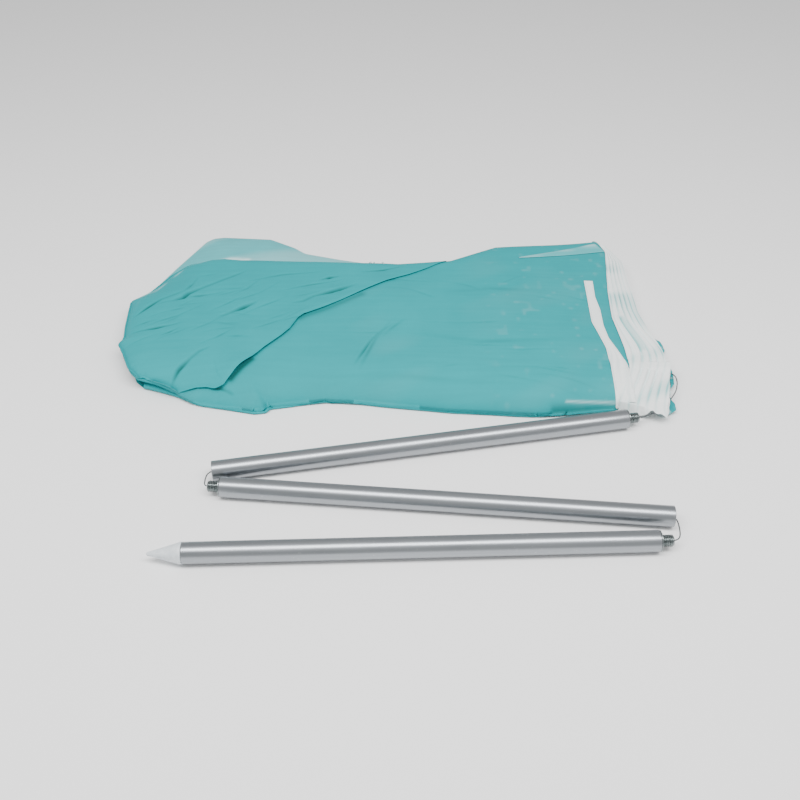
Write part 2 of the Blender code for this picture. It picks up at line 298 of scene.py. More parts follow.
ALUMINIUM = metal("satin_aluminium", (0.40, 0.42, 0.44), (0.27, 0.29, 0.31), roughness=0.32,
                  along=5, across=320, bump=0.10, use_map=True)
THREAD_STEEL = metal("turned_steel", (0.40, 0.43, 0.43), (0.22, 0.25, 0.25), roughness=0.26,
                     along=900, across=8, bump=0.12, use_map=True)
CABLE_STEEL = metal("wire_rope", (0.20, 0.22, 0.23), (0.09, 0.10, 0.11), roughness=0.36,
                    along=300, across=300, bump=0.10, use_map=False)
SPRING_STEEL = metal("spring_wire", (0.50, 0.51, 0.52), (0.33, 0.34, 0.35), roughness=0.28,
                     along=300, across=300, bump=0.10, use_map=False)
TIP_PLASTIC = plastic("milky_plastic", (0.76, 0.80, 0.82), (0.55, 0.60, 0.63), 0.38, 0.4)
CAP_PLASTIC = plastic("dark_plastic", (0.045, 0.046, 0.05), (0.03, 0.03, 0.034), 0.5, 0.0)
print("metals and plastics ready, the last is", CAP_PLASTIC.name)

# %% [markdown]
# Thin polyester looks flat from afar and woven from near. Its colour comes from the print, with
# slow drifts where layers below show through. Light and shade are painted into it as well: painted
# shade in creases, under folds and between the yarns, and painted highlights on some edges and
# folds. Two attributes on the mesh, crease and pale, tell the material where the painted shade and
# the paler tones go; the weave itself places the shade between the yarns.

# %% Cloth finish
CLOTH_ROUGHNESS = 0.72
WEAVE_BUMP = 0.25


def cloth(name, base, deep, pale, variation):
    """Woven cloth with painted shade in creases and between yarns, and paler where marked pale."""
    material, tree, shader = start_material(name, CLOTH_ROUGHNESS, 0.0, base)
    place = node(tree, "ShaderNodeTexCoord").outputs["Object"]
    surface = node(tree, "ShaderNodeUVMap", {"uv_map": "cloth"}).outputs[0]
    crease = node(tree, "ShaderNodeAttribute", {"attribute_name": "crease"}).outputs["Fac"]
    pale_and_highlight = node(tree, "ShaderNodeAttribute", {"attribute_name": "pale"}).outputs["Fac"]
    marks = group_node(tree, HANDLING, Place=place, Smudge_Size=0.06, Speck_Size=0.0012)
    ribs = group_node(tree, WEAVE, Map=surface)
    lighter = tuple(min(1.0, c * (1 + variation)) for c in base)
    darker = tuple(c * (1 - variation) for c in base)
    threads = group_node(tree, GRAIN, Map=place, Along=9.0, Across=150.0)
    slow = math_node(tree, "ADD", math_node(tree, "MULTIPLY", marks.outputs["Smudge"], 1.3),
                     math_node(tree, "MULTIPLY_ADD", threads.outputs["Streaks"], 1.2, -0.75))
    tone = mix_colour(tree, slow, darker, lighter)
    # paler where marked: painted highlights, pale flecks and slow drifts
    tone = mix_colour(tree, pale_and_highlight, tone, pale)
    # painted shade in creases and under folds; in the sheer header also the teal that shows through
    tone = mix_colour(tree, crease, tone, deep)
    # painted shade between the yarns: the weave's low spots lean towards the deep colour
    weave_gap_shade = math_node(tree, "MULTIPLY_ADD", ribs.outputs["Height"], -0.10, 0.10)
    tree.links.new(mix_colour(tree, weave_gap_shade, tone, deep), shader.inputs["Base Color"])
    rough = math_node(tree, "MULTIPLY_ADD", marks.outputs["Smudge"], 0.16, CLOTH_ROUGHNESS - 0.08)
    tree.links.new(rough, shader.inputs["Roughness"])
    bumped = node(tree, "ShaderNodeBump", Strength=WEAVE_BUMP, Distance=0.0001,
                  Height=ribs.outputs["Height"])
    tree.links.new(bumped.outputs[0], shader.inputs["Normal"])
    shader.inputs["Specular IOR Level"].default_value = 0.2
    return material


# The deep colours are painted shade for creases, folds and the gaps of the weave; for the sheer
# white the deep teal is also the teal that shows through. The pale teal carries painted highlights
# and pale flecks.
TEAL = (0.004, 0.300, 0.325)
PAINTED_SHADE_TEAL = (0.001, 0.095, 0.085)
PALE_TEAL = (0.50, 0.76, 0.78)
TEAL_CLOTH = cloth("teal_polyester", TEAL, PAINTED_SHADE_TEAL, PALE_TEAL, 0.07)
# The light that comes through a single layer is painted in, as a paler copy of the teal.
BACKLIT_TEAL = cloth("backlit_teal_polyester", (0.09, 0.43, 0.46), TEAL, (0.62, 0.82, 0.83), 0.10)
WHITE_TAPE = cloth("white_tape", (0.90, 0.93, 0.92), (0.25, 0.52, 0.52), (0.95, 0.95, 0.95), 0.02)
SHEER_WHITE = cloth("sheer_white", (0.90, 0.94, 0.93), (0.25, 0.56, 0.56), (0.95, 0.96, 0.96), 0.03)
print("cloth finishes:", TEAL_CLOTH.name, BACKLIT_TEAL.name, WHITE_TAPE.name, SHEER_WHITE.name)

# %% [markdown]
# The floor is only a stage: one large pale square, a hair below the object so that the lowest
# cloth never flickers against it. A flat mesh is enough, because its far edge is out of view.

# %% Floor
FLOOR_HALF = 6.0
FLOOR_DROP = 0.0006
floor_mesh = bpy.data.meshes.new("floor")
corners = [(-FLOOR_HALF, -FLOOR_HALF), (FLOOR_HALF, -FLOOR_HALF), (FLOOR_HALF, FLOOR_HALF),
           (-FLOOR_HALF, FLOOR_HALF)]
floor_mesh.from_pydata([(x, y, -FLOOR_DROP) for x, y in corners], [], [(0, 1, 2, 3)])
floor_mesh.materials.append(start_material("pale_floor", 0.9, 0.0, (0.93, 0.93, 0.93))[0])
floor = bpy.data.objects.new("floor", floor_mesh)
bpy.context.collection.objects.link(floor)
print("floor:", 2 * FLOOR_HALF, "metres wide")

# %% [markdown]
# The pole. Every section is a drawn tube along its own axis, and the frame says where that axis
# is: the spin joint of a section gives a point and a direction. So a piece is modelled along X
# and then laid on its section by one matrix.

# %% Section axes from the frame
def section_place(start, heading):
    """The matrix that lays X on a section's axis, from its socket or tip end."""
    x = Vector(heading).normalized()
    y = Vector((0, 0, 1)).cross(x)
    z = x.cross(y)
    turn = Matrix((x, y, z)).transposed().to_4x4()
    return Matrix.Translation(start) @ turn


PLACE = {}
for name in ("lower", "middle", "upper"):
    spin = joints[f"{name}_spin"]
    PLACE[name] = section_place(spin["pos_m"], spin["axis"])
top_low, top_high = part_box("top_tube")
tube_radius = (top_high[2] - top_low[2]) / 2
tube_length = top_high[0] - top_low[0]
top_start = (top_high[0], (top_low[1] + top_high[1]) / 2, (top_low[2] + top_high[2]) / 2)
PLACE["top"] = section_place(top_start, (-1, 0, 0))
print("tube", round(tube_length, 4), "long,", round(2 * tube_radius, 4), "across")

# %% [markdown]
# Tubes, studs, sockets and the tip are all turned shapes: a profile carried round an axis. A spin
# tool could do that, but a grid of points is as short to write, and it lets a rule move each
# point, so that threads and flutes come out of the same helper. The grid also gives every piece
# a map in metres for its grain.

# %% Turned pieces with a surface map
SHARP_EDGE = 30             # degrees


def finish_object(name, mesh, material):
    """Link a mesh as an object with one material."""
    obj = bpy.data.objects.new(name, mesh)
    bpy.context.collection.objects.link(obj)
    mesh.materials.append(material)
    return obj


def grid_mesh(name, points, uv, map_name, wrap_rows=False, wrap_columns=False):
    """A mesh of quads through a grid of points (rows, columns, 3), with a map in metres."""
    rows, columns = points.shape[:2]
    mesh = bpy.data.meshes.new(name)
    index = np.arange(rows * columns).reshape(rows, columns)
    at = np.arange(rows if wrap_rows else rows - 1)
    to = np.arange(columns if wrap_columns else columns - 1)
    r, c = np.meshgrid(at, to, indexing="ij")
    r2, c2 = (r + 1) % rows, (c + 1) % columns
    quads = np.stack([index[r, c], index[r, c2], index[r2, c2], index[r2, c]], axis=-1)
    quads = quads.reshape(-1, 4)
    mesh.from_pydata(points.reshape(-1, 3).tolist(), [], quads.tolist())
    layer = mesh.uv_layers.new(name=map_name)
    flat = uv.reshape(-1, 2)[quads.ravel()]
    layer.data.foreach_set("uv", flat.ravel())
    mesh.shade_smooth()
    return mesh


def tidy_shell(mesh):
    """Close the poles of a turned body and point its faces outwards."""
    bm = bmesh.new()
    bm.from_mesh(mesh)
    bmesh.ops.remove_doubles(bm, verts=bm.verts, dist=1e-6)
    bmesh.ops.recalc_face_normals(bm, faces=bm.faces)
    bm.to_mesh(mesh)
    bm.free()


def turned(name, profile, place, material, sides=96, closed=True, relief=None):
    """Turn (along, radius) points about the axis; relief(along, angle, radius) carves it."""
    profile = np.array(profile, float)
    angle = np.arange(sides) * tau / sides
    s = np.repeat(profile[:, :1], sides, axis=1)
    r = np.repeat(profile[:, 1:2], sides, axis=1)
    a = np.repeat(angle[None, :], len(profile), axis=0)
    if relief is not None:
        r = r + relief(s, a, r)
    points = np.stack([s, r * np.cos(a), r * np.sin(a)], axis=-1)
    travel = np.append(0, np.cumsum(np.linalg.norm(np.diff(profile, axis=0), axis=1)))
    uv = np.stack([np.repeat(travel[:, None], sides, axis=1), a * profile[:, 1].max()], axis=-1)
    mesh = grid_mesh(name, points, uv, "surface", wrap_rows=closed, wrap_columns=True)
    mesh.transform(place)
    tidy_shell(mesh)
    mesh.shade_smooth()
    mesh.set_sharp_from_angle(angle=radians(SHARP_EDGE))
    return finish_object(name, mesh, material)


def stand_for(piece, body, slot, *nodes):
    """Let a piece ride on a body and replace its plain solids; the slot is not used."""
    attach(piece, body)
    if nodes:
        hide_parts(*nodes)
    return piece


print("edges over", SHARP_EDGE, "degrees stay sharp")

# %% [markdown]
# A drawn tube has a small rolled edge at each end, which catches a thin line of light. A bevel
# modifier could round it, but the profile is turned anyway, so the quarter round is part of it.

# %% Tubes
BODY = {"lower": "lower_section", "middle": "middle_section", "upper": "upper_section",
        "top": "flag_pack"}
TUBE_WALL = 0.0012
ROLLED_EDGE = 0.0006


def tube_profile():
    """Outside from one end to the other, then back along the bore."""
    inner = tube_radius - TUBE_WALL
    start = [(ROLLED_EDGE * (1 - sin(t)), tube_radius - ROLLED_EDGE * (1 - cos(t)))
             for t in np.linspace(pi / 2, 0, 5)]
    end = [(tube_length - s, r) for s, r in reversed(start)]
    body = [(tube_length * k / 8, tube_radius) for k in range(1, 8)]
    return start + body + end + [(tube_length, inner), (0.0, inner)]


for name, place in PLACE.items():
    tube = turned(f"{name}_drawn_tube", tube_profile(), place, ALUMINIUM)
    stand_for(tube, BODY[name], "tube_aluminium", f"{name}_tube")
print("tubes:", len(PLACE), "of", len(tube_profile()), "profile points")

# %% [markdown]
# The thread on a stud is a ridge that climbs one pitch per turn, so its radius depends on the
# distance along and on the angle together. That makes a true helix, where stacked rings would
# only look like one from the side. A collar under the thread stops the next section.

# %% Threaded studs
PITCH = 0.00175             # M12 coarse
THREAD_DEPTH = 0.0011
THREAD_RUNOUT = 0.0006      # how far a thread takes to fade out
GAP = 0.0003                # clearance between pieces that meet
STUD_RADIUS = 0.0061
STUD_REACH = 0.014
STUD_ROOT = 0.004           # how deep the stud sits in its tube
COLLAR = 0.0012
CABLE_HOLE = 0.0015
THREADED_SIDES = 72


def helix_relief(start, end, depth, least, most):
    """A rounded thread between two places along the axis, on surfaces within two radii."""
    def relief(s, a, r):
        phase = (s / PITCH - a / tau) % 1.0
        ridge = 0.5 + 0.5 * np.cos(tau * phase)
        groove = 1.0 - ridge ** 0.8
        fade = (np.clip((s - start) / THREAD_RUNOUT, 0, 1)
                * np.clip((end - s) / THREAD_RUNOUT, 0, 1))
        return np.where((r > least) & (r < most), -depth * groove * fade, 0.0)
    return relief


def stud_profile():
    """The root in the tube, the collar, the threaded shank and the hole for the rope."""
    root, end = tube_length - STUD_ROOT, tube_length + STUD_REACH
    collar = tube_length + GAP
    thread = [(s, STUD_RADIUS) for s in np.linspace(collar + 0.0015, end - 0.0009, 74)]
    hole = [(end, CABLE_HOLE + 0.0004), (end - 0.0004, CABLE_HOLE), (end - 0.012, CABLE_HOLE)]
    return [
        (root, CABLE_HOLE), (root, tube_radius - 0.0018),
        (collar, tube_radius - 0.0018), (collar, tube_radius - 0.0007),
        (collar + 0.0003, tube_radius - 0.0004), (collar + 0.0009, tube_radius - 0.0004),
        (collar + COLLAR, tube_radius - 0.0009), (collar + COLLAR, STUD_RADIUS - 0.0007),
    ] + thread + [(end, STUD_RADIUS - THREAD_DEPTH)] + hole


stud_thread = helix_relief(tube_length + 0.0016, tube_length + STUD_REACH + 0.0008, THREAD_DEPTH,
                           least=STUD_RADIUS - 0.0006, most=STUD_RADIUS + 0.0001)
for name in ("lower", "middle", "upper"):
    stud = turned(f"{name}_threaded_stud", stud_profile(), PLACE[name], THREAD_STEEL,
                  THREADED_SIDES, relief=stud_thread)
    stand_for(stud, BODY[name], "thread_steel", f"{name}_stud")
print("studs with", round(STUD_REACH / PITCH), "turns of thread")

# %% [markdown]
# A socket is an insert in the mouth of the next tube, threaded inside, with a web at its bottom
# that the rope passes through. The same helix cuts it, turned outwards by a negative depth.

# %% Threaded sockets
SOCKET_BORE = 0.0062
SOCKET_MOUTH = 0.0005
SOCKET_THREAD = 0.019
SOCKET_DEPTH = 0.026


def socket_profile():
    """The threaded bore, the web behind it and the outside."""
    outer = tube_radius - TUBE_WALL - GAP
    bore = [(s, SOCKET_BORE) for s in np.linspace(0.0012, SOCKET_THREAD, 90)]
    return [(SOCKET_MOUTH, SOCKET_BORE + 0.0007)] + bore + [
        (SOCKET_THREAD, CABLE_HOLE), (SOCKET_DEPTH, CABLE_HOLE), (SOCKET_DEPTH, outer),
        (SOCKET_MOUTH, outer),
    ]


socket_thread = helix_relief(0.0010, SOCKET_THREAD, -THREAD_DEPTH * 0.8,
                             least=SOCKET_BORE - 0.0001, most=SOCKET_BORE + 0.0001)
for name in ("middle", "upper", "top"):
    insert = turned(f"{name}_threaded_socket", socket_profile(), PLACE[name], THREAD_STEEL,
                    THREADED_SIDES, relief=socket_thread)
    stand_for(insert, BODY[name], "thread_steel", f"{name}_socket")
print("sockets", SOCKET_DEPTH, "deep, threaded for", SOCKET_THREAD)

# %% [markdown]
# The point that goes into the ground is moulded plastic: a short lip, a straight cone with
# shallow flutes that keep it from turning, and a small round nub. It is one turned profile with
# the flutes as its relief. A boolean cut for each flute would leave edges that need repair.

# %% Ground tip
TIP_LENGTH = 0.035
TIP_PLUG = 0.006            # how deep the tip sits in the tube
TIP_LIP = 0.0024            # where the cone starts
TIP_NUB = 0.0022
NUB_LENGTH = 0.004
FLUTES = 6
FLUTE_DEPTH = 0.07          # as a share of the radius
FLUTE_FADE = 0.006


def flute_relief(s, a, r):
    """Shallow flutes that fade out at the cone's base and at its nub."""
    share = (np.clip((-s - 0.003) / FLUTE_FADE, 0, 1)
             * np.clip((TIP_LENGTH - 0.006 + s) / FLUTE_FADE, 0, 1))
    return -FLUTE_DEPTH * r * share * (0.5 + 0.5 * np.cos(FLUTES * a)) ** 2


def tip_profile():
    """The plug in the tube, the lip, the cone and the nub."""
    plug, taper = tube_radius - 0.0016, TIP_NUB + 0.0004 - tube_radius
    cone = [(-s, tube_radius + taper * (s - TIP_LIP) / (TIP_LENGTH - TIP_LIP - NUB_LENGTH))
            for s in np.linspace(TIP_LIP, TIP_LENGTH - NUB_LENGTH, 24)]
    bead = [(TIP_NUB * (1 - sin(t)) - TIP_LENGTH, TIP_NUB * cos(t))
            for t in np.linspace(0, pi / 2, 8)]
    return [
        (TIP_PLUG, 0.0), (TIP_PLUG, plug), (-GAP, plug), (-GAP, tube_radius - 0.0003),
        (-0.0006, tube_radius), (-0.0018, tube_radius),
    ] + cone + bead


tip = turned("moulded_ground_tip", tip_profile(), PLACE["lower"], TIP_PLASTIC, THREADED_SIDES,
             closed=False, relief=flute_relief)
stand_for(tip, "lower_section", "clear_plastic", "ground_tip")
print("ground tip with", FLUTES, "flutes")

# %% [markdown]
# Each pair of sections is tied by a short steel rope. It starts in a ferrule behind the socket,
# comes out of the mouth, turns and goes down the hole in the stud to a spring inside the tube.
# Wire rope is strands laid round each other, which is a rule: so one Geometry Nodes tree lays the
# strands along any path, with the rope's radius and the length of one twist as its inputs.

# %% Rope paths
LOOPS = {
    "lower": [
        (0.2838, -0.2981), (0.2866, -0.2970), (0.2890, -0.2945), (0.2906, -0.2905),
        (0.2916, -0.2850), (0.2921, -0.2790), (0.2922, -0.2735), (0.2912, -0.2690),
        (0.2884, -0.2662), (0.2845, -0.2651),
    ],
    "middle": [
        (-0.1940, -0.2210), (-0.1957, -0.2188), (-0.1962, -0.2145), (-0.1962, -0.2090),
        (-0.1955, -0.2045), (-0.1935, -0.2010), (-0.1900, -0.1988), (-0.1860, -0.1976),
    ],
    "upper": [
        (0.2900, -0.1083), (0.2965, -0.1060), (0.3060, -0.1000), (0.3180, -0.0895),
        (0.3300, -0.0755), (0.3390, -0.0610), (0.3436, -0.0481), (0.3452, -0.0390),
        (0.3446, -0.0315), (0.3412, -0.0268), (0.3355, -0.0254),
    ],
}
INNER = {"lower": "middle", "middle": "upper", "upper": "top"}
CABLE_RADIUS = 0.0007
ROPE_START = 0.0318         # depth of the anchored end, from the socket's mouth
ROPE_END = 0.4110           # the other end, along the outer section
ROPE_STEP = 0.0012


def smooth_line(points, spacing):
    """Evenly spaced points on a Catmull-Rom curve through the given ones."""
    p = np.array(points, float)
    p = np.vstack([2 * p[0] - p[1], p, 2 * p[-1] - p[-2]])
    t = np.linspace(0, 1, 40, endpoint=False)[:, None]
    runs = [
        0.5 * (2 * b + (c - a) * t + (2 * a - 5 * b + 4 * c - d) * t**2
               + (3 * b - a - 3 * c + d) * t**3)
        for a, b, c, d in zip(p, p[1:], p[2:], p[3:])
    ]
    fine = np.vstack(runs + [p[-2:-1]])
    along = np.append(0, np.cumsum(np.linalg.norm(np.diff(fine, axis=0), axis=1)))
    at = np.linspace(0, along[-1], int(round(along[-1] / spacing)) + 1)
    return np.column_stack([np.interp(at, along, fine[:, k]) for k in range(p.shape[1])])


def on_axis(name, along):
    """A point on a section's axis, at a distance from its start."""
    return PLACE[name] @ Vector((along, 0, 0))


def rope_route(outer):
    """From the anchor in the inner section, round the loop, to the stop in the outer one."""
    inner = INNER[outer]
    points = [on_axis(inner, s) for s in np.linspace(ROPE_START, 0.012, 4)]
    points += [Vector((x, y, tube_radius)) for x, y in reversed(LOOPS[outer])]
    points += [on_axis(outer, s) for s in np.linspace(tube_length + STUD_REACH, ROPE_END, 6)]
    return smooth_line([tuple(p) for p in points], ROPE_STEP)


def rope_length(route):
    """The length along a route's points."""
    return float(np.linalg.norm(np.diff(route, axis=0), axis=1).sum())


ROUTES = {name: rope_route(name) for name in LOOPS}
print("ropes:", {name: round(rope_length(route), 4) for name, route in ROUTES.items()})

# %% Geometry Nodes tree for laid rope
def geometry_tree(name, inputs):
    """A Geometry Nodes tree with a geometry input and output and named value inputs."""
    tree = bpy.data.node_groups.new(name, "GeometryNodeTree")
    tree.interface.new_socket("Geometry", in_out="INPUT", socket_type="NodeSocketGeometry")
    for label, (kind, value) in inputs.items():
        socket = tree.interface.new_socket(label, in_out="INPUT", socket_type=kind)
        if value is not None:
            socket.default_value = value
    tree.interface.new_socket("Geometry", in_out="OUTPUT", socket_type="NodeSocketGeometry")
    return tree, tree.nodes.new("NodeGroupInput"), tree.nodes.new("NodeGroupOutput")


def rope_tree():
    """Lay strands in a helix round a path; a core wire fills the middle."""
    tree, inside, outside = geometry_tree("laid_rope", {
        "Rope Radius": ("NodeSocketFloat", CABLE_RADIUS), "Strands": ("NodeSocketInt", 6),
        "Twist Length": ("NodeSocketFloat", 0.0075), "Wire Sides": ("NodeSocketInt", 6),
        "Finish": ("NodeSocketMaterial", None),
    })
    path = node(tree, "GeometryNodeMeshToCurve", Mesh=inside.outputs["Geometry"])
    copies = node(tree, "GeometryNodeDuplicateElements", {"domain": "SPLINE"},
                  Geometry=path.outputs[0], Amount=inside.outputs["Strands"])
    where = node(tree, "GeometryNodeSplineParameter")
    phase = math_node(tree, "DIVIDE", copies.outputs["Duplicate Index"], inside.outputs["Strands"])
    turns = math_node(tree, "DIVIDE", where.outputs["Length"], inside.outputs["Twist Length"])
    angle = math_node(tree, "MULTIPLY", math_node(tree, "ADD", phase, turns), tau)
    lay = math_node(tree, "MULTIPLY", inside.outputs["Rope Radius"], 0.64)
    tangent = node(tree, "GeometryNodeInputTangent")
    side = node(tree, "ShaderNodeVectorMath", {"operation": "CROSS_PRODUCT"},
                i0=tangent.outputs[0], i1=(0.0, 0.0, 1.0))
    across = node(tree, "ShaderNodeVectorMath", {"operation": "SCALE"}, i0=side.outputs[0],
                  Scale=math_node(tree, "MULTIPLY", lay, math_node(tree, "COSINE", angle)))
    upward = node(tree, "ShaderNodeCombineXYZ",
                  Z=math_node(tree, "MULTIPLY", lay, math_node(tree, "SINE", angle)))
    offset = node(tree, "ShaderNodeVectorMath", {"operation": "ADD"}, i0=across.outputs[0],
                  i1=upward.outputs[0])
    moved = node(tree, "GeometryNodeSetPosition", Geometry=copies.outputs["Geometry"],
                 Offset=offset.outputs[0])
    both = tree.nodes.new("GeometryNodeJoinGeometry")
    tree.links.new(moved.outputs[0], both.inputs[0])
    tree.links.new(path.outputs[0], both.inputs[0])
    wire = node(tree, "GeometryNodeCurvePrimitiveCircle", Resolution=inside.outputs["Wire Sides"],
                Radius=math_node(tree, "MULTIPLY", inside.outputs["Rope Radius"], 0.38))
    solid = node(tree, "GeometryNodeCurveToMesh", Curve=both.outputs[0],
                 Profile_Curve=wire.outputs[0], Fill_Caps=True)
    real = node(tree, "GeometryNodeRealizeInstances", Geometry=solid.outputs[0])
    done = node(tree, "GeometryNodeSetMaterial", Geometry=real.outputs[0],
                Material=inside.outputs["Finish"])
    tree.links.new(done.outputs[0], outside.inputs[0])
    return tree


def apply_tree(obj, tree, **values):
    """Run a tree on an object, keep the result as a plain mesh and drop the modifier."""
    modifier = obj.modifiers.new(tree.name, "NODES")
    modifier.node_group = tree
    sockets = {item.name: item.identifier for item in tree.interface.items_tree
               if item.in_out == "INPUT"}
    for label, value in values.items():
        modifier[sockets[label.replace("_", " ")]] = value
    bpy.context.view_layer.update()
    ready = obj.evaluated_get(bpy.context.evaluated_depsgraph_get())
    mesh = bpy.data.meshes.new_from_object(ready)
    obj.modifiers.clear()
    old = obj.data
    obj.data = mesh
    bpy.data.meshes.remove(old)
    mesh.name = obj.name
    return obj


def line_object(name, points):
    """A mesh of edges along the points, for a tree to work on."""
    mesh = bpy.data.meshes.new(name)
    mesh.from_pydata([tuple(p) for p in points], [(i, i + 1) for i in range(len(points) - 1)], [])
    obj = bpy.data.objects.new(name, mesh)
    bpy.context.collection.objects.link(obj)
    return obj


ROPE = rope_tree()
print("rope tree with", len(ROPE.nodes), "nodes")


for name, route in ROUTES.items():
    rope = line_object(f"{name}_wire_rope", route)
    apply_tree(rope, ROPE, Finish=CABLE_STEEL)
    rope.data.shade_smooth()
    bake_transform(rope)
    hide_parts(f"{name}_cable")
print("the last rope has", len(rope.data.polygons), "faces")

# %% [markdown]
# The springs, ferrules and the cap sit inside the tubes or under the cloth. Their plain solids
# from the frame already have the right shape, so they stay and only get a finish.

# %% Finishes for the pieces that stay as they are
KEPT = {"top_cap": CAP_PLASTIC}
for name in LOOPS:
    KEPT[f"{name}_spring"] = SPRING_STEEL
    KEPT[f"{name}_cable_stop"] = KEPT[f"{name}_cable_anchor"] = CABLE_STEEL
for name, material in KEPT.items():
    frame["nodes"][name].material_slots[0].material = material
print("pieces kept from the frame:", len(KEPT))

# %% [markdown]
# The flag is one thin panel folded up. A simulation would crumple it somewhere else each time its
# settings change, while the folds of a packed flag are few and plain. So the cloth is shaped from
# given lines: a patch is stretched between four edges, raised by a crown that falls off to those
# edges, and then tucked along crease lines. The same crown serves every layer that lies on it.

# %% Edges and patches
CORNER_ROUNDS = 3


def dense(points, step=0.002):
    """A polyline with a point about every step, corners kept."""
    p = np.array(points, float)
    parts = []
    for a, b in zip(p, p[1:]):
        count = max(1, int(round(np.linalg.norm(b - a) / step)))
        parts.append(a + (b - a) * np.linspace(0, 1, count, endpoint=False)[:, None])
    return np.vstack(parts + [p[-1:]])


def resample(points, count):
    """Count evenly spaced points on a line whose corners are slightly rounded."""
    line = dense(points)
    for _ in range(CORNER_ROUNDS):
        line[1:-1] = (line[:-2] + 2 * line[1:-1] + line[2:]) / 4
    along = np.append(0, np.cumsum(np.linalg.norm(np.diff(line, axis=0), axis=1)))
    at = np.linspace(0, along[-1], count)
    return np.column_stack([np.interp(at, along, line[:, k]) for k in (0, 1)])


def patch(front, back, left, right, columns, rows):
    """A Coons patch in plan between four edges; rows run from front to back."""
    f, b = resample(front, columns), resample(back, columns)
    l, r = resample(left, rows), resample(right, rows)
    u = np.linspace(0, 1, columns)[None, :, None]
    v = np.linspace(0, 1, rows)[:, None, None]
    ruled = (1 - v) * f[None] + v * b[None] + (1 - u) * l[:, None] + u * r[:, None]
    corner = ((1 - u) * (1 - v) * f[0] + u * (1 - v) * f[-1]
              + (1 - u) * v * b[0] + u * v * b[-1])
    return ruled - corner


print("edges are rounded", CORNER_ROUNDS, "times before a patch is stretched between them")

# %% [markdown]
# Creases, tints and heights all depend on how far a point of the cloth is from some line, so the
# distance to a line is worked out once, for a whole grid of points. Smooth random heights make
# the slow unevenness that any real cloth has. A texture could do both in the shader only, but
# here they also have to move the mesh.

# %% Distance, drift and soft steps
def line_distance(xy, line):
    """Signed distance of points to a polyline, and how far along it they are, 0 to 1."""
    p = np.array(line, float)
    flat = xy.reshape(-1, 2)
    best = np.full(len(flat), np.inf)
    side = np.zeros(len(flat))
    share = np.zeros(len(flat))
    lengths = np.linalg.norm(np.diff(p, axis=0), axis=1)
    before = np.append(0, np.cumsum(lengths)) / lengths.sum()
    for i, (a, b) in enumerate(zip(p, p[1:])):
        d = b - a
        t = np.clip(((flat - a) @ d) / (d @ d), 0, 1)
        off = flat - (a + t[:, None] * d)
        far = np.hypot(off[:, 0], off[:, 1])
        closer = far < best
        best[closer] = far[closer]
        side[closer] = np.sign(d[0] * off[:, 1] - d[1] * off[:, 0])[closer]
        share[closer] = (before[i] + t * (before[i + 1] - before[i]))[closer]
    shape = xy.shape[:-1]
    return (best * side).reshape(shape), share.reshape(shape)


def drift(xy, size, seed):
    """Smooth random heights from -1 to 1 that change over about this size."""
    grid = np.random.default_rng(seed).uniform(-1, 1, (64, 64))
    p = xy / size + 20.0
    cell = np.floor(p).astype(int)
    t = p - cell
    t = t * t * (3 - 2 * t)
    i, j = cell[..., 0] % 64, cell[..., 1] % 64
    i2, j2 = (i + 1) % 64, (j + 1) % 64
    low = grid[i, j] * (1 - t[..., 0]) + grid[i2, j] * t[..., 0]
    high = grid[i, j2] * (1 - t[..., 0]) + grid[i2, j2] * t[..., 0]
    return low * (1 - t[..., 1]) + high * t[..., 1]


def smooth_step(value, low, high):
    """From 0 at low to 1 at high, level at both ends."""
    t = np.clip((value - low) / (high - low), 0, 1)
    return t * t * (3 - 2 * t)


def near(xy, line, width):
    """A soft mask round a line."""
    return np.exp(-(line_distance(xy, line)[0] / width) ** 2)


print("drift at the middle:", round(float(drift(np.zeros((1, 2)), 0.11, 3)[0]), 3))

# %% [markdown]
# A pressed crease in thin cloth is a narrow groove beside a low lip, deepest somewhere along its
# length and gone at its ends. A bump texture would give the shade but not the shadow or the
# outline, so each crease moves the mesh and also leaves a mask for the painted shade in it.

# %% Creases
CREASE_FADE = 0.18          # share of a crease's length over which an end fades
# painted shade: a crease this deep gets all of its painted shade
FULL_SHADE_DEPTH = 0.0020    # a crease this deep gets the full deep colour


def tuck(xy, line, depth, width, deep_at):
    """A pressed fold: a narrow groove with one lip higher. Returns height and painted crease shade.
    """
    away, share = line_distance(xy, line)
    ends = np.clip(share / CREASE_FADE, 0, 1) * np.clip((1 - share) / CREASE_FADE, 0, 1)
    ends = ends * (0.35 + 0.65 * np.exp(-((share - deep_at) / 0.16) ** 2))
    groove = np.exp(-(away / width) ** 2)
    lip = np.tanh(away / (1.6 * width)) * np.exp(-np.abs(away) / (7 * width))
    mask = np.exp(-(away / max(0.7 * width, 0.0012)) ** 2)
    return ends * depth * (0.6 * lip - groove), ends * mask


def add_tucks(xy, tucks):
    """The summed heights and the strongest painted crease shade of a list of tucks."""
    height = np.zeros(xy.shape[:-1])
    mask = np.zeros(xy.shape[:-1])
    for line, depth, width, deep_at in tucks:
        rise, dark = tuck(xy, line, depth, width, deep_at)
        height += rise
        mask = np.maximum(mask, dark * min(1.0, depth / FULL_SHADE_DEPTH))
    return height, mask


def fine_rays(count, seed, low, high, angles, lengths, depth):
    """Shallow seeded creases that start in a box and run off at nearly the same angle."""
    rng = np.random.default_rng(seed)
    rays = []
    for start in rng.uniform(low, high, (count, 2)):
        way, reach = radians(rng.uniform(*angles)), rng.uniform(*lengths)
        bend = rng.uniform(-0.3, 0.3)
        ends = [start + reach * t * np.array([cos(way + bend * t), sin(way + bend * t)])
                for t in (0, 0.5, 1)]
        rays.append(([tuple(e) for e in ends], depth * rng.uniform(0.4, 1), 0.0018,
                     rng.uniform(0.2, 0.8)))
    return rays


print("a crease fades over", CREASE_FADE, "of its length at each end")

# %% [markdown]
# The bundle's outline comes first and its height follows from it: nothing but a few plies at the
# edge, then a quick round rise to a nearly level top. The crown adds up the nearness of three
# edges, so that it has no ridge where two of them meet, as a real pillow of cloth has none. At
# the right end the cloth is cut off level and the header covers it, so that edge doesn't count.

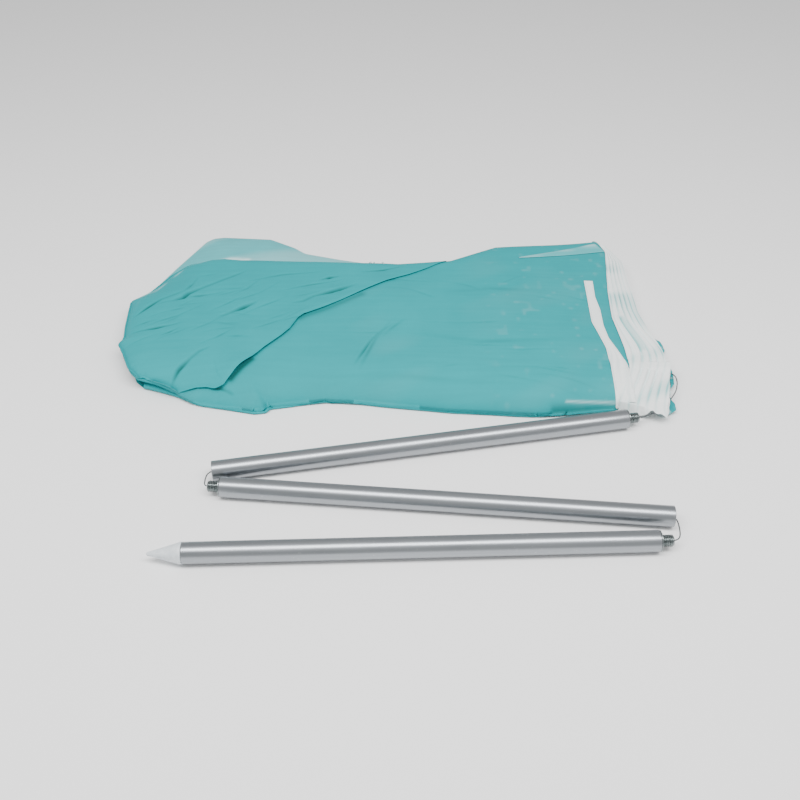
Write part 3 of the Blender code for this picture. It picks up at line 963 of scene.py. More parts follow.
# %% The bundle's outline and crown
BUNDLE_FRONT = [
    (-0.304, -0.044), (-0.257, -0.062), (-0.232, -0.076), (-0.161, -0.091), (-0.149, -0.089),
    (-0.145, -0.082), (-0.107, -0.076), (-0.078, -0.071), (-0.035, -0.075), (0.070, -0.090),
    (0.171, -0.098), (0.202, -0.096), (0.268, -0.086),
]
BUNDLE_BACK = [
    (-0.308, 0.174), (-0.285, 0.206), (-0.256, 0.222), (-0.235, 0.225), (-0.209, 0.220),
    (-0.170, 0.218), (-0.129, 0.216), (-0.068, 0.215), (0.007, 0.211), (0.077, 0.224),
    (0.143, 0.262), (0.292, 0.286),
]
BUNDLE_LEFT = [
    (-0.304, -0.044), (-0.317, -0.030), (-0.332, 0.004), (-0.341, 0.020), (-0.336, 0.031),
    (-0.340, 0.056), (-0.346, 0.116), (-0.325, 0.138), (-0.308, 0.174),
]
BUNDLE_RIGHT = [
    (0.268, -0.086), (0.284, -0.050), (0.288, -0.034), (0.289, 0.004), (0.287, 0.041),
    (0.285, 0.070), (0.290, 0.130), (0.3045, 0.236), (0.292, 0.286),
]
BUNDLE_MIDDLE = np.array([0.0, 0.06])
CREST = 0.033
# each edge, with how far in from it the crown takes to rise
SIDES = ((BUNDLE_FRONT, 0.060), (BUNDLE_BACK, 0.030), (BUNDLE_LEFT, 0.050))


slant = radians(28)
SLANT = np.array([[cos(slant) * 0.45, -sin(slant)], [sin(slant) * 0.45, cos(slant)]])


def crown(xy):
    """The height of the bundle's top: low at its edges, CREST well inside them."""
    total = np.zeros(xy.shape[:-1])
    for line, reach in SIDES:
        away = np.abs(line_distance(xy, dense(line, 0.01))[0])
        total += (np.maximum(away, 1e-6) / reach) ** -5.0
    t = np.clip(total ** -0.2, 0, 1)
    rise = np.sqrt(1 - (1 - t) ** 2)
    x = xy[..., 0]
    edge = 0.0025 + 0.0115 * smooth_step(-x, 0.232, 0.285)
    flat = CREST - 0.007 * smooth_step(x, 0.12, 0.28) - 0.004 * smooth_step(-x, 0.18, 0.33)
    flat = flat + 0.0022 * drift(xy, 0.11, 3) + 0.0010 * drift(xy @ SLANT, 0.045, 5)
    return np.maximum(edge + (flat - edge) * rise, 0.0)


print("crown in the middle:", round(float(crown(BUNDLE_MIDDLE[None])[0]), 4))

# %% [markdown]
# The panel is folded back and forth in four plies, front to back. Its rows run through all the
# plies in turn, with a round bend between each pair, so the mesh is one strip as the cloth is.
# Only the top ply needs fine rows. The lower plies pass over the pole section in the sleeve.

# %% Fold the panel
PLIES = 4
COLUMNS = 340
TOP_ROWS = 190
PLY_ROWS = 16
BEND_ROWS = 4
LOWEST_PLY = 0.0008         # how high the lowest ply lies
PLY_GAP = 0.0012            # between plies, over the pole
LOWEST_CLOTH = 0.0004


def over_pole(xy, height, clearance):
    """Lift a height where the cloth passes over the section that lies in the sleeve."""
    x, aside = xy[..., 0], np.abs(xy[..., 1] - top_start[1])
    dome = 2 * tube_radius + clearance - 9.0 * np.clip(aside - 0.006, 0, None) ** 1.35
    return np.maximum(smooth_step(x, -0.165, -0.135) * dome, height)


PANEL_TUCKS = [
    ([(0.001, 0.058), (-0.019, 0.019), (-0.027, -0.006), (-0.038, -0.046)], 0.0009, 0.0030, 0.6),
    ([(0.020, 0.062), (0.001, 0.040), (-0.012, 0.020)], 0.0006, 0.0030, 0.5),
    ([(0.060, 0.120), (0.130, 0.132), (0.235, 0.128)], 0.0005, 0.0050, 0.5),
    ([(0.030, 0.030), (0.110, 0.012), (0.230, 0.020)], 0.0005, 0.0060, 0.5),
    ([(-0.090, -0.050), (0.020, -0.055), (0.160, -0.068)], 0.0003, 0.0050, 0.5),
    ([(-0.216, -0.069), (-0.200, -0.068), (-0.182, -0.078)], 0.0022, 0.0022, 0.4),
    ([(-0.045, -0.038), (-0.026, 0.012), (-0.016, 0.030), (0.006, 0.052)], 0.0016, 0.0016, 0.35),
] + fine_rays(16, 5, (-0.08, -0.05), (0.20, 0.16), (-12, 12), (0.05, 0.14), 0.0006)


def panel_plan():
    """Plan grids of all plies, front to back and back to front in turn, with their bends."""
    grids, heights = [], []
    for ply in range(PLIES):
        rows = TOP_ROWS if ply == PLIES - 1 else PLY_ROWS
        plan = patch(BUNDLE_FRONT, BUNDLE_BACK, BUNDLE_LEFT, BUNDLE_RIGHT, COLUMNS, rows)
        if ply < PLIES - 1:
            plan = BUNDLE_MIDDLE + (plan - BUNDLE_MIDDLE) * (0.985 - 0.004 * ply)
            shift = [drift(plan, 0.05, 11 + ply), drift(plan, 0.07, 21 + ply)]
            plan = plan + 0.004 * np.stack(shift, -1)
        height = crown(plan) * ((ply + 0.4) / (PLIES - 0.6))
        if ply == 0:
            height = np.minimum(height, LOWEST_PLY)
        else:
            height = over_pole(plan, height, LOWEST_PLY + PLY_GAP * ply)
        if ply % 2 == 0:
            plan, height = plan[::-1], height[::-1]
        grids.append(plan)
        heights.append(height)
    return grids, heights


def bend_rows(plan_a, height_a, plan_b, height_b):
    """A round bend of cloth from the end of one ply to the start of the next."""
    share = np.linspace(0, 1, BEND_ROWS + 2)[1:-1, None]
    bulge = np.sin(pi * share) * np.maximum(height_b - height_a, 0.0015) * 0.5
    outward = np.sign(plan_a[:, 1] - BUNDLE_MIDDLE[1])
    plan = plan_a + (plan_b - plan_a) * share[..., None]
    plan = plan + np.stack([np.zeros_like(bulge), bulge * outward], -1)
    turn = 0.5 - 0.5 * np.cos(pi * share)
    return plan, height_a + (height_b - height_a) * turn


grids, heights = panel_plan()
tucks, top_painted_shade = add_tucks(grids[-1], PANEL_TUCKS)
heights[-1] = heights[-1] + tucks
print("panel plies:", [grid.shape[:2] for grid in grids])

# %% [markdown]
# The panel's colour isn't even. Shadow and light are painted into it: painted shadow in the pocket
# under the turned fold, under that fold's overhang and along its edge, painted shade at the front
# hem, and a painted highlight on a light line above the hem. It is also paler in faint flecks at
# the right. These masks are written for the top ply, which is the only one that shows.

# %% Tints of the top ply
TURN_EDGE = [
    (-0.304, -0.044), (-0.295, -0.045), (-0.266, -0.061), (-0.244, -0.065), (-0.216, -0.067),
    (-0.206, -0.070), (-0.196, -0.068), (-0.188, -0.058), (-0.178, -0.042), (-0.166, -0.025),
    (-0.155, -0.006), (-0.137, 0.019), (-0.127, 0.036), (-0.119, 0.061), (-0.112, 0.070),
    (-0.085, 0.087), (-0.052, 0.112), (-0.009, 0.146), (0.022, 0.163), (0.045, 0.179),
    (0.075, 0.204),
]
POCKET_SHADOW = [(-0.188, -0.059), (-0.178, -0.043), (-0.167, -0.028)]
OVERHANG_SHADOW = [(-0.117, 0.062), (-0.110, 0.068), (-0.083, 0.084), (-0.040, 0.115)]
FRONT_HEM_SHADE = [(0.190, -0.095), (0.268, -0.088)]
HEM_HIGHLIGHT = [(0.205, -0.0865), (0.268, -0.0825)]
# painted shadow in the pocket, under the overhang and along the turned edge; painted shade at the
# front hem
PAINTED_SHADE_LINES = ((POCKET_SHADOW, 0.95, 0.0038), (OVERHANG_SHADOW, 0.50, 0.0060), (TURN_EDGE[3:], 0.20, 0.0030),
              (FRONT_HEM_SHADE, 0.60, 0.0045))
top = grids[-1]
for line, strength, width in PAINTED_SHADE_LINES:
    top_painted_shade = np.maximum(top_painted_shade, strength * near(top, line, width))
# a painted highlight on the fold above the front hem, then pale flecks at the right and a slow pale
# drift
top_pale = 0.55 * near(top, HEM_HIGHLIGHT, 0.0013)
right_half = smooth_step(top[..., 0], 0.10, 0.16)
top_pale = top_pale + 0.10 * right_half * np.clip(drift(top, 0.009, 61) * 2 - 1.1, 0, 1)
top_pale = top_pale + 0.03 * np.clip(drift(top @ SLANT, 0.03, 63), 0, 1)
print("deepest tint:", round(float(top_painted_shade.max()), 2), "palest:", round(float(top_pale.max()), 2))

# %% Join the plies into one strip
strip = [(grids[0], heights[0])]
for ply in range(1, PLIES):
    strip.append(bend_rows(grids[ply - 1][-1], heights[ply - 1][-1], grids[ply][0], heights[ply][0]))
    strip.append((grids[ply], heights[ply]))
panel_plan_grid = np.concatenate([plan for plan, _ in strip])
panel_height = np.maximum(np.concatenate([height for _, height in strip]), LOWEST_CLOTH)
panel_painted_shade = np.zeros(panel_height.shape)
panel_painted_shade[-TOP_ROWS:] = top_painted_shade
panel_pale = np.zeros(panel_height.shape)
panel_pale[-TOP_ROWS:] = top_pale
print("panel rows and columns:", panel_height.shape)

# %% [markdown]
# Every sheet becomes an object in the same way: a grid mesh, a map in metres along both threads
# for the weave, and the crease and pale masks as attributes. Single layers get a thickness from
# a Solidify modifier. The folded panel needs none, because its plies already close it.

# %% Cloth objects
def cloth_object(name, plan, height, material, crease=None, pale=None, thickness=0.0):
    """A sheet through a plan grid and its heights, mapped in metres along both threads."""
    points = np.concatenate([plan, height[..., None]], axis=-1)
    middle_row, middle_column = plan[plan.shape[0] // 2], points[:, points.shape[1] // 2]
    along, across = (
        np.append(0, np.cumsum(np.linalg.norm(np.diff(line, axis=0), axis=1)))
        for line in (middle_row, middle_column)
    )
    uv = np.stack(np.meshgrid(along, across), axis=-1)
    mesh = grid_mesh(name, points, uv, "cloth")
    for label, values in (("crease", crease), ("pale", pale)):
        data = np.zeros(height.shape) if values is None else values
        layer = mesh.attributes.new(label, "FLOAT", "POINT")
        layer.data.foreach_set("value", data.ravel().astype(np.float32))
    obj = finish_object(name, mesh, material)
    if thickness:
        solid = obj.modifiers.new("thickness", "SOLIDIFY")
        solid.thickness = thickness
        solid.offset = -1.0
    return obj


def cloth_area(plan, height):
    """The area of a sheet's surface, from its grid."""
    p = np.concatenate([plan, height[..., None]], axis=-1)
    a = np.cross(p[1:, :-1] - p[:-1, :-1], p[:-1, 1:] - p[:-1, :-1])
    return float(np.linalg.norm(a, axis=-1).sum())


panel_area = cloth_area(panel_plan_grid, panel_height)
panel = cloth_object("folded_flag_panel", panel_plan_grid, panel_height, TEAL_CLOTH, panel_painted_shade,
                     panel_pale)
stand_for(panel, "flag_pack", "teal_cloth", "flag_lower_folds", "flag_upper_folds", "flag_edge_fold")
print("panel area:", round(panel_area, 3), "square metres of cloth")

# %% [markdown]
# At the left the panel's last part is turned over the rest, and its edge runs across the bundle
# from the front left corner to the back. The edge is a soft fold, so it stands a few millimetres
# proud and opens into a dark pocket near the front. That turned part is a sheet of its own here.

# %% Creases of the turned fold
TURN_BACK = BUNDLE_BACK[:9] + [(0.075, 0.223)]
TURN_RIGHT = [(0.075, 0.204), (0.075, 0.223)]
TURN_TUCKS = [
    ([(-0.132, 0.091), (-0.115, 0.098), (-0.102, 0.110), (-0.073, 0.123), (-0.045, 0.138)],
     0.0036, 0.0024, 0.66),
    ([(-0.292, 0.098), (-0.274, 0.108), (-0.268, 0.118), (-0.229, 0.148), (-0.195, 0.173)],
     0.0036, 0.0024, 0.17),
    ([(-0.270, 0.110), (-0.242, 0.112), (-0.215, 0.118)], 0.0012, 0.0020, 0.3),
    ([(-0.276, 0.118), (-0.266, 0.140), (-0.262, 0.158)], 0.0010, 0.0022, 0.4),
    ([(-0.334, 0.064), (-0.315, 0.089), (-0.300, 0.106), (-0.270, 0.124)], 0.0020, 0.0019, 0.35),
    ([(-0.222, 0.056), (-0.191, 0.080), (-0.172, 0.096)], 0.0034, 0.0024, 0.60),
    ([(-0.330, 0.032), (-0.297, 0.037), (-0.279, 0.042), (-0.262, 0.050)], 0.0020, 0.0018, 0.5),
    ([(-0.289, 0.018), (-0.275, 0.028), (-0.264, 0.037)], 0.0012, 0.0016, 0.5),
    ([(-0.262, -0.066), (-0.253, -0.043), (-0.231, -0.016), (-0.218, -0.008)], 0.0034, 0.0023, 0.36),
    ([(-0.098, 0.148), (-0.084, 0.155), (-0.070, 0.158)], 0.0024, 0.0022, 0.5),
    ([(-0.046, 0.167), (-0.012, 0.173), (0.018, 0.185)], 0.0014, 0.0018, 0.5),
    ([(-0.329, 0.045), (-0.310, 0.052), (-0.296, 0.054)], 0.0009, 0.0018, 0.5),
    ([(-0.150, 0.118), (-0.110, 0.136), (-0.060, 0.150)], 0.0010, 0.0018, 0.5),
    ([(-0.200, 0.140), (-0.150, 0.160), (-0.090, 0.170)], 0.0009, 0.0020, 0.5),
] + fine_rays(30, 8, (-0.335, -0.03), (-0.12, 0.16), (8, 42), (0.03, 0.10), 0.0008)
print("creases in the turned fold:", len(TURN_TUCKS))

# %% Turned fold
TURN_COLUMNS, TURN_ROWS = 380, 240
turn_plan = patch(TURN_EDGE, TURN_BACK, BUNDLE_LEFT, TURN_RIGHT, TURN_COLUMNS, TURN_ROWS)
spread = np.array([-0.13, 0.07])
turn_plan = spread + (turn_plan - spread) * np.array([1.006, 1.010])
under = crown(turn_plan)
edge_away, edge_share = line_distance(turn_plan, TURN_EDGE)
edge_away = np.abs(edge_away)
pocket = np.exp(-((edge_share - 0.27) / 0.05) ** 2)
fade_right = 1 - smooth_step(edge_share, 0.80, 1.0)
roll = np.sqrt(np.clip(1 - (1 - np.clip(edge_away / 0.005, 0, 1)) ** 2, 0, 1))
lift = 0.0008 + 0.0028 * roll * (1 - 0.65 * smooth_step(edge_share, 0.50, 0.80))
lift = (lift + 0.0050 * pocket * np.exp(-(edge_away / 0.018) ** 2)) * fade_right
tucks, turn_mask = add_tucks(turn_plan, TURN_TUCKS)
height_left = np.minimum(1.0, under / 0.010)
turn_height = under + lift + 0.0010 + tucks * height_left
back_away = np.abs(line_distance(turn_plan, BUNDLE_BACK)[0])
left_away = np.abs(line_distance(turn_plan, BUNDLE_LEFT)[0])
# a painted highlight along the turned fold's back and left edges, broken up by a drift, with a
# painted patch of it at the back left
rim_highlight = np.exp(-((np.minimum(back_away, left_away) - 0.011) / 0.0022) ** 2)
rim_highlight = rim_highlight * np.clip(0.55 + drift(turn_plan, 0.02, 35), 0, 1)
rim_highlight = np.maximum(rim_highlight, 1.2 * near(turn_plan, [(-0.337, 0.124), (-0.322, 0.138)], 0.0045))
rim_highlight = rim_highlight * smooth_step(-turn_plan[..., 0], 0.12, 0.22) * smooth_step(turn_plan[..., 1], 0.09, 0.13)
turned_fold = cloth_object("turned_flag_fold", turn_plan, turn_height, TEAL_CLOTH, turn_mask,
                           0.5 * rim_highlight)
stand_for(turned_fold, "flag_pack", "teal_cloth")

# %% [markdown]
# One single layer sticks out behind the bundle at the left. Light passes through it, and that
# light is painted in: its finish is a paler copy of the teal, with a painted highlight streak where
# it bends and a painted bright line at its outer edge. It has its own finish and starts well under
# the bundle, so that no gap shows between them.

# %% Back layer
OUTER_BACK = [
    (-0.348, 0.147), (-0.342, 0.151), (-0.311, 0.235), (-0.280, 0.312), (-0.270, 0.322),
    (-0.255, 0.325), (-0.184, 0.319), (-0.145, 0.293), (-0.129, 0.277), (-0.078, 0.260),
    (-0.034, 0.248), (0.025, 0.236),
]
INNER_BACK = [
    (-0.330, 0.095), (-0.300, 0.105), (-0.270, 0.140), (-0.235, 0.165), (-0.170, 0.175),
    (-0.068, 0.175), (0.025, 0.170),
]
back_plan = patch(INNER_BACK, OUTER_BACK, [(-0.330, 0.095), (-0.348, 0.147)],
                  [(0.025, 0.170), (0.025, 0.236)], 150, 60)
outer_away = np.abs(line_distance(back_plan, OUTER_BACK)[0])
ramp = 1 - np.exp(-outer_away / 0.035)
back_height = 0.0012 + 0.012 * ramp + 0.0016 * drift(back_plan @ SLANT, 0.05, 31) * ramp
back_tucks = [
    ([(-0.290, 0.215), (-0.220, 0.245), (-0.140, 0.262)], 0.0008, 0.0040, 0.5),
    ([(-0.262, 0.225), (-0.190, 0.236), (-0.120, 0.240)], 0.0008, 0.0035, 0.5),
]
tucks, back_mask = add_tucks(back_plan, back_tucks)
BACK_HIGHLIGHT_STREAK = [(-0.334, 0.158), (-0.303, 0.188), (-0.280, 0.217), (-0.254, 0.235),
               (-0.235, 0.243), (-0.209, 0.242)]
# painted highlights: a streak near the bundle's edge and a line at the outer edge, over slow random
# pale tone
back_highlight_and_tone = 0.35 * np.clip(drift(back_plan @ SLANT, 0.06, 33), 0, 1)
back_highlight_and_tone = back_highlight_and_tone + 0.40 * np.exp(-(outer_away / 0.0015) ** 2)
back_highlight_and_tone = np.clip(back_highlight_and_tone + 0.80 * near(back_plan, BACK_HIGHLIGHT_STREAK, 0.0045), 0, 1)
back_layer = cloth_object("single_back_layer", back_plan, back_height + tucks, BACKLIT_TEAL,
                          back_mask * 0.3, back_highlight_and_tone, thickness=0.0004)
stand_for(back_layer, "flag_pack", "thin_teal_cloth", "flag_back_layer")

# %% [markdown]
# A white tape lies across the cloth near the right end. It is flat at the back and ruffled at
# the front, where it was gathered with the hem. A strip of plan laid on the crown's height gives
# the lie, and a sine across it, fading towards the back, the ruffle.

# %% White tape
TAPE_LEFT = [(0.264, -0.086), (0.264, -0.058), (0.265, 0.004), (0.256, 0.059), (0.261, 0.158)]
TAPE_RIGHT = [
    (0.284, -0.093), (0.287, -0.045), (0.285, -0.026), (0.279, 0.000), (0.272, 0.025),
    (0.270, 0.052), (0.272, 0.089), (0.270, 0.118), (0.273, 0.158),
]


def top_height(xy):
    """The height of the panel's top ply at any plan point."""
    lifted = over_pole(xy, crown(xy), LOWEST_PLY + PLY_GAP * (PLIES - 1))
    return np.maximum(lifted, LOWEST_CLOTH)


tape_plan = patch([TAPE_LEFT[0], TAPE_RIGHT[0]], [TAPE_LEFT[-1], TAPE_RIGHT[-1]], TAPE_LEFT,
                  TAPE_RIGHT, 30, 160)
across = np.linspace(0, 1, 30)[None, :]
tape_front = 1 - smooth_step(tape_plan[..., 1], -0.035, 0.010)
ruffle = np.sin(tau * (2.6 * across + 0.8 * drift(tape_plan, 0.05, 71)))
tape_height = top_height(tape_plan) + 0.0012 + 0.0007 * tape_front * ruffle
# painted shade along the ruffles at the front, in a teal grey
tape_ruffle_shade = 0.85 * tape_front * np.clip(ruffle, 0, 1)
tape_ruffle_shade = tape_ruffle_shade * np.clip(drift(tape_plan, 0.03, 72) + 0.5, 0, 1)
tape = cloth_object("white_hem_tape", tape_plan, tape_height, WHITE_TAPE, tape_ruffle_shade,
                    thickness=0.0005)
stand_for(tape, "flag_pack", "white_cloth", "hem_band")

# %% [markdown]
# At the back right the corner of one layer is turned over, and its thin edge looks almost white:
# it takes the paler copy of the teal for light coming through, with painted highlight streaks on
# top. It is a long narrow triangle, so a patch whose left edge is nearly nothing makes it.

# %% Pale corner
corner_plan = patch([(0.178, 0.212), (0.3035, 0.237)], [(0.178, 0.214), (0.292, 0.260)],
                    [(0.178, 0.212), (0.178, 0.214)], [(0.3035, 0.237), (0.292, 0.260)], 60, 12)
corner_height = top_height(corner_plan) + 0.0010
corner_highlight = 0.12 + 0.45 * drift(corner_plan * np.array([0.2, 1.0]), 0.008, 41)
corner = cloth_object("pale_turned_corner", corner_plan, corner_height, BACKLIT_TEAL,
                      pale=np.clip(corner_highlight, 0, 1), thickness=0.0004)
stand_for(corner, "flag_pack", "thin_teal_cloth")

# %% [markdown]
# The sleeve's header is sheer white cloth, gathered in pleats that run along the edge and fall
# from the bundle over the mouth of the pole. Pleats follow a rule, two sines across the strip
# that wander slowly along it, so they are worked out and not drawn. The strip then turns down at
# its outer edge and at its front, and is lifted over the pole, its mouth and the rope.

# %% Shape of the sleeve header
HEADER_LEFT = [
    (0.266, -0.088), (0.283, -0.051), (0.287, -0.034), (0.288, 0.004), (0.286, 0.041),
    (0.284, 0.070), (0.289, 0.130), (0.3035, 0.236), (0.292, 0.277),
]
HEADER_RIGHT = [
    (0.316, -0.109), (0.326, -0.080), (0.334, -0.045), (0.338, -0.020), (0.338, 0.010),
    (0.335, 0.030), (0.330, 0.055), (0.324, 0.097), (0.326, 0.151), (0.327, 0.225),
    (0.312, 0.267), (0.299, 0.290),
]
HEADER_FRONT = [HEADER_LEFT[0], (0.292, -0.096), (0.306, -0.103), HEADER_RIGHT[0]]
HEADER_COLUMNS, HEADER_ROWS, DROP_COLUMNS, DROP_ROWS = 96, 240, 16, 10
HEADER_EDGE = 0.018         # height of the outer edge, before it turns down
PLEATS = 5.5
PLEAT_DEPTH = 0.0015


def header_top():
    """Plan, height and pleat shade of the part that lies on the bundle."""
    plan = patch(HEADER_FRONT, [HEADER_LEFT[-1], HEADER_RIGHT[-1]],
                 HEADER_LEFT, HEADER_RIGHT, HEADER_COLUMNS, HEADER_ROWS)
    u = np.linspace(0, 1, HEADER_COLUMNS)[None, :]
    v = np.linspace(0, 1, HEADER_ROWS)[:, None]
    start = top_height(plan[:, :1]) + 0.0016
    edge = HEADER_EDGE - 0.006 * (1 - smooth_step(v, 0.0, 0.12)) - 0.010 * smooth_step(v, 0.94, 1)
    wander = 0.25 * np.sin(tau * (v * 1.3 + 0.1)) + 0.8 * drift(plan, 0.08, 51)
    pleat = np.sin(tau * (PLEATS * u + wander))
    pleat = pleat + 0.5 * np.sin(tau * (2 * PLEATS * u + 2.0 * wander + 0.3))
    depth = PLEAT_DEPTH * np.sin(pi * np.clip(u * 1.1, 0, 1)) + 0.0002
    height = start + (edge - start) * u ** 0.8
    front = (0.0185 - 0.004 * u) * (1 - smooth_step(v, 0.12, 0.30))
    height = np.maximum(height, front) + depth * (0.4 + 0.6 * smooth_step(v, 0.0, 0.15)) * pleat
    return plan, height, np.clip(-pleat, 0, 1.5) / 1.5


def hang_outer_edge(plan, height, shade):
    """Add the short fall at the outer edge, with a wave along its foot."""
    v = np.linspace(0, 1, HEADER_ROWS)[:, None]
    down = np.linspace(0, 1, DROP_COLUMNS + 1)[None, 1:]
    wave = 0.0012 * np.sin(tau * 9 * v) * down
    outward = np.stack([0.0022 * np.sin(pi * down / 2) + wave, np.zeros_like(wave)], axis=-1)
    foot = 0.0020 + 0.0090 * (1 - smooth_step(v, 0.0, 0.12))
    fall = height[:, -1:] * (1 - down) + foot * down
    return (np.concatenate([plan, plan[:, -1:] + outward], axis=1),
            np.concatenate([height, fall], axis=1),
            np.concatenate([shade, np.zeros_like(fall)], axis=1))


def hang_front(plan, height, shade):
    """Add the fall at the front, which reaches the floor only at its inner side."""
    columns = plan.shape[1]
    ahead = np.linspace(1, 0, DROP_ROWS, endpoint=False)[:, None]
    ripple = 0.0010 * np.sin(tau * PLEATS * np.linspace(0, 1, columns))[None, :]
    forward = -0.0030 * np.sin(pi * ahead / 2) + ripple * ahead
    forward = np.stack([np.zeros_like(forward), forward], -1)
    hung = smooth_step(np.linspace(0, 1.15, columns)[None, :], 0.45, 0.70)
    bottom = height[:1] * hung + 0.0030 * (1 - hung)
    return (np.concatenate([plan[:1] + forward, plan]),
            np.concatenate([height[:1] * (1 - ahead) + bottom * ahead, height]),
            np.concatenate([shade[:1] * (1 - ahead), shade]))


header_plan, header_height, header_shade = hang_front(*hang_outer_edge(*header_top()))
over_rope = near(header_plan, ROUTES["upper"][::6, :2], 0.006) * (tube_radius + 0.0032)
mouth = np.exp(-((header_plan[..., 1] - top_start[1] + 0.003) / 0.014) ** 2)
header_height = over_pole(header_plan, header_height, 0.0016)
for least in (over_rope, mouth * (tube_radius + 0.0035), 0.0006):
    header_height = np.maximum(header_height, least)
print("header rows and columns:", header_height.shape)

# %% Sleeve header
CLOSE_LIE = [(0.298, 0.074), (0.313, 0.010)]


def pleat_shade_and_tint(shade, show):
    """Painted shade in the pleats, and how much teal shows through the sheer cloth where it lies
    close.
    """
    return np.clip(0.62 * shade * (0.35 + show) + 0.50 * show ** 2, 0, 1)


tint = np.clip(drift(header_plan @ SLANT, 0.03, 53) * 1.4 - 0.2, 0, 1)
tint = np.maximum(tint, near(header_plan, CLOSE_LIE, 0.0075))
header = cloth_object("pleated_sleeve_header", header_plan, header_height, SHEER_WHITE,
                      pleat_shade_and_tint(header_shade, tint), 0.3 * (1 - tint), thickness=0.0004)
stand_for(header, "flag_pack", "sheer_white_cloth", "sleeve_header", "sleeve_mouth")

# %% [markdown]
# A loose corner of the teal panel looks out beyond the header in a few places. One narrow uneven
# strip on the floor, half under the header, shows as separate bits, as the real corner does.

# %% Loose corner of the panel
LOOSE_LEFT = [
    (0.312, -0.094), (0.314, -0.050), (0.3390, -0.044), (0.3395, -0.012), (0.316, -0.006),
    (0.314, 0.062),
]
LOOSE_RIGHT = [
    (0.320, -0.097), (0.3345, -0.090), (0.3355, -0.076), (0.3310, -0.066), (0.3340, -0.050),
    (0.3430, -0.041), (0.3460, -0.022), (0.3475, -0.012), (0.3440, 0.001), (0.3390, 0.010),
    (0.3400, 0.020), (0.3480, 0.030), (0.3460, 0.046), (0.3350, 0.056), (0.320, 0.062),
]
loose_plan = patch([LOOSE_LEFT[0], LOOSE_RIGHT[0]], [LOOSE_LEFT[-1], LOOSE_RIGHT[-1]], LOOSE_LEFT,
                   LOOSE_RIGHT, 24, 180)
loose_height = 0.0052 + 0.0022 * drift(loose_plan, 0.012, 81)
loose_height = loose_height + 0.0008 * drift(loose_plan, 0.004, 82)
loose_pale = 0.7 * np.clip(drift(loose_plan, 0.009, 83) * 2, 0, 1)
loose = cloth_object("loose_panel_corner", loose_plan, loose_height, TEAL_CLOTH, pale=loose_pale,
                     thickness=0.0004)
stand_for(loose, "flag_pack", "teal_cloth", "flag_corner")

# %% [markdown]
# Sewing is a rule too: one short stitch, repeated at an even pitch along a seam. The second tree
# sets a small rod on every point of a line and turns it to face along the line. The seams follow
# both edges of the tape.

# %% Stitches
ROD_SIDES = 6
ROD_FACES = ROD_SIDES + 2
SEAM_INSET = 0.0016


def stitch_tree():
    """Short rods at an even pitch along a line."""
    tree, inside, outside = geometry_tree("seam_stitches", {
        "Pitch": ("NodeSocketFloat", 0.0030), "Stitch": ("NodeSocketFloat", 0.0021),
        "Thread Radius": ("NodeSocketFloat", 0.00022), "Finish": ("NodeSocketMaterial", None),
    })
    path = node(tree, "GeometryNodeMeshToCurve", Mesh=inside.outputs["Geometry"])
    spots = node(tree, "GeometryNodeResampleCurve", {"mode": "LENGTH"}, Curve=path.outputs[0],
                 Length=inside.outputs["Pitch"])
    tangent = node(tree, "GeometryNodeInputTangent")
    facing = node(tree, "FunctionNodeAlignRotationToVector", {"axis": "Z"},
                  Vector=tangent.outputs[0])
    rod = node(tree, "GeometryNodeMeshCylinder", Vertices=ROD_SIDES,
               Radius=inside.outputs["Thread Radius"], Depth=inside.outputs["Stitch"])
    laid = node(tree, "GeometryNodeInstanceOnPoints", Points=spots.outputs[0],
                Instance=rod.outputs[0], Rotation=facing.outputs[0])
    real = node(tree, "GeometryNodeRealizeInstances", Geometry=laid.outputs[0])
    done = node(tree, "GeometryNodeSetMaterial", Geometry=real.outputs[0],
                Material=inside.outputs["Finish"])
    tree.links.new(done.outputs[0], outside.inputs[0])
    return tree


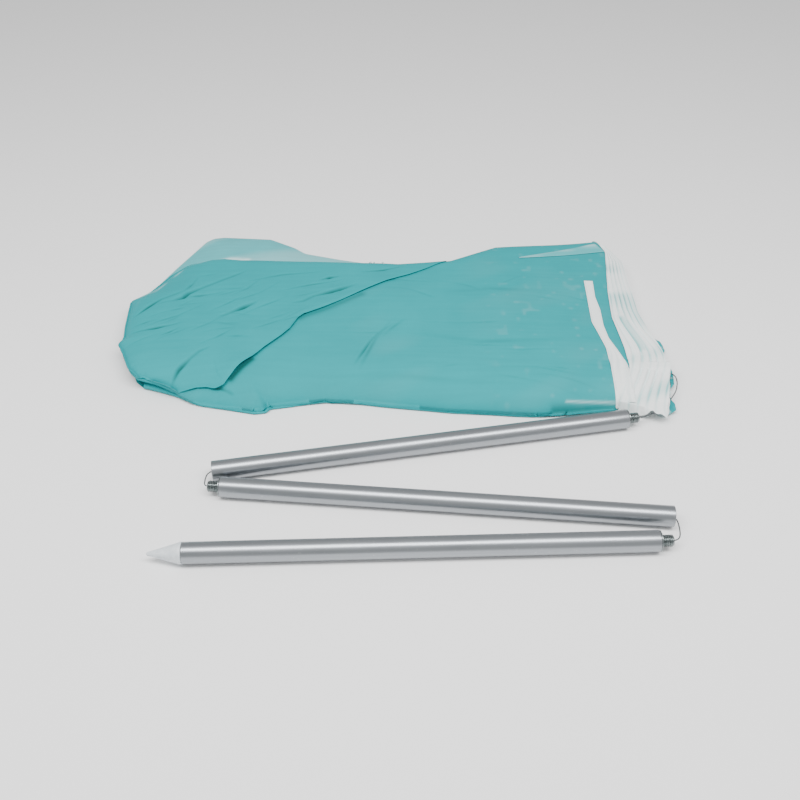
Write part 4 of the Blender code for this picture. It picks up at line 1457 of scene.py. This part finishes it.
def thread_finish():
    """Twisted sewing thread: pale, with a darker band at every twist."""
    material, tree, shader = start_material("sewing_thread", 0.7, 0.0, (0.9, 0.92, 0.91))
    place = node(tree, "ShaderNodeTexCoord").outputs["Object"]
    twist = node(tree, "ShaderNodeTexWave", Vector=place, Scale=700.0, Distortion=2.0)
    marks = group_node(tree, HANDLING, Place=place, Smudge_Size=0.02, Speck_Size=0.0008)
    tone = mix_colour(tree, marks.outputs["Smudge"], (0.90, 0.93, 0.92), (0.78, 0.84, 0.83))
    share = math_node(tree, "MULTIPLY", twist.outputs["Fac"], 0.35)
    tree.links.new(mix_colour(tree, share, tone, (0.50, 0.60, 0.60)), shader.inputs["Base Color"])
    bumped = node(tree, "ShaderNodeBump", Strength=0.3, Distance=0.0001,
                  Height=twist.outputs["Fac"])
    tree.links.new(bumped.outputs[0], shader.inputs["Normal"])
    return material


THREAD = thread_finish()
STITCHES = stitch_tree()
for name, edge, inset in (("left", TAPE_LEFT, SEAM_INSET), ("right", TAPE_RIGHT, -SEAM_INSET)):
    seam = resample(edge, 120) + np.array([inset, 0.0])
    seam = seam[(seam[:, 1] > -0.070) & (seam[:, 1] < 0.156)]
    height = top_height(seam) + 0.0016
    stitches = line_object(f"tape_{name}_stitches", np.column_stack([seam, height]))
    apply_tree(stitches, STITCHES, Finish=THREAD)
    stand_for(stitches, "flag_pack", "white_cloth")
print("stitches:", len(stitches.data.polygons) // ROD_FACES, "on the right seam")

# %% [markdown]
# Three cut thread ends lie near the back edge. Sewing thread is twisted from yarns like a thin
# rope, so the rope tree makes them too, with two strands and a shorter twist.

# %% Cut thread ends
THREAD_ENDS = (
    [(-0.031, 0.207), (-0.0315, 0.203), (-0.029, 0.199), (-0.030, 0.194), (-0.0285, 0.191)],
    [(-0.026, 0.205), (-0.0245, 0.200), (-0.0255, 0.196)],
    [(-0.013, 0.203), (-0.0125, 0.199), (-0.0145, 0.197)],
)
for number, line in enumerate(THREAD_ENDS):
    plan = smooth_line([(*p, 0.0) for p in line], 0.0006)[:, :2]
    height = top_height(plan) + 0.0042 + 0.0006 * np.sin(np.linspace(0, pi, len(plan)))
    end = line_object(f"thread_end_{number + 1}", np.column_stack([plan, height]))
    apply_tree(end, ROPE, Rope_Radius=0.0008, Strands=2, Twist_Length=0.002, Finish=THREAD)
    end.data.shade_smooth()
    stand_for(end, "flag_pack", "white_cloth")
print("thread ends:", len(THREAD_ENDS))
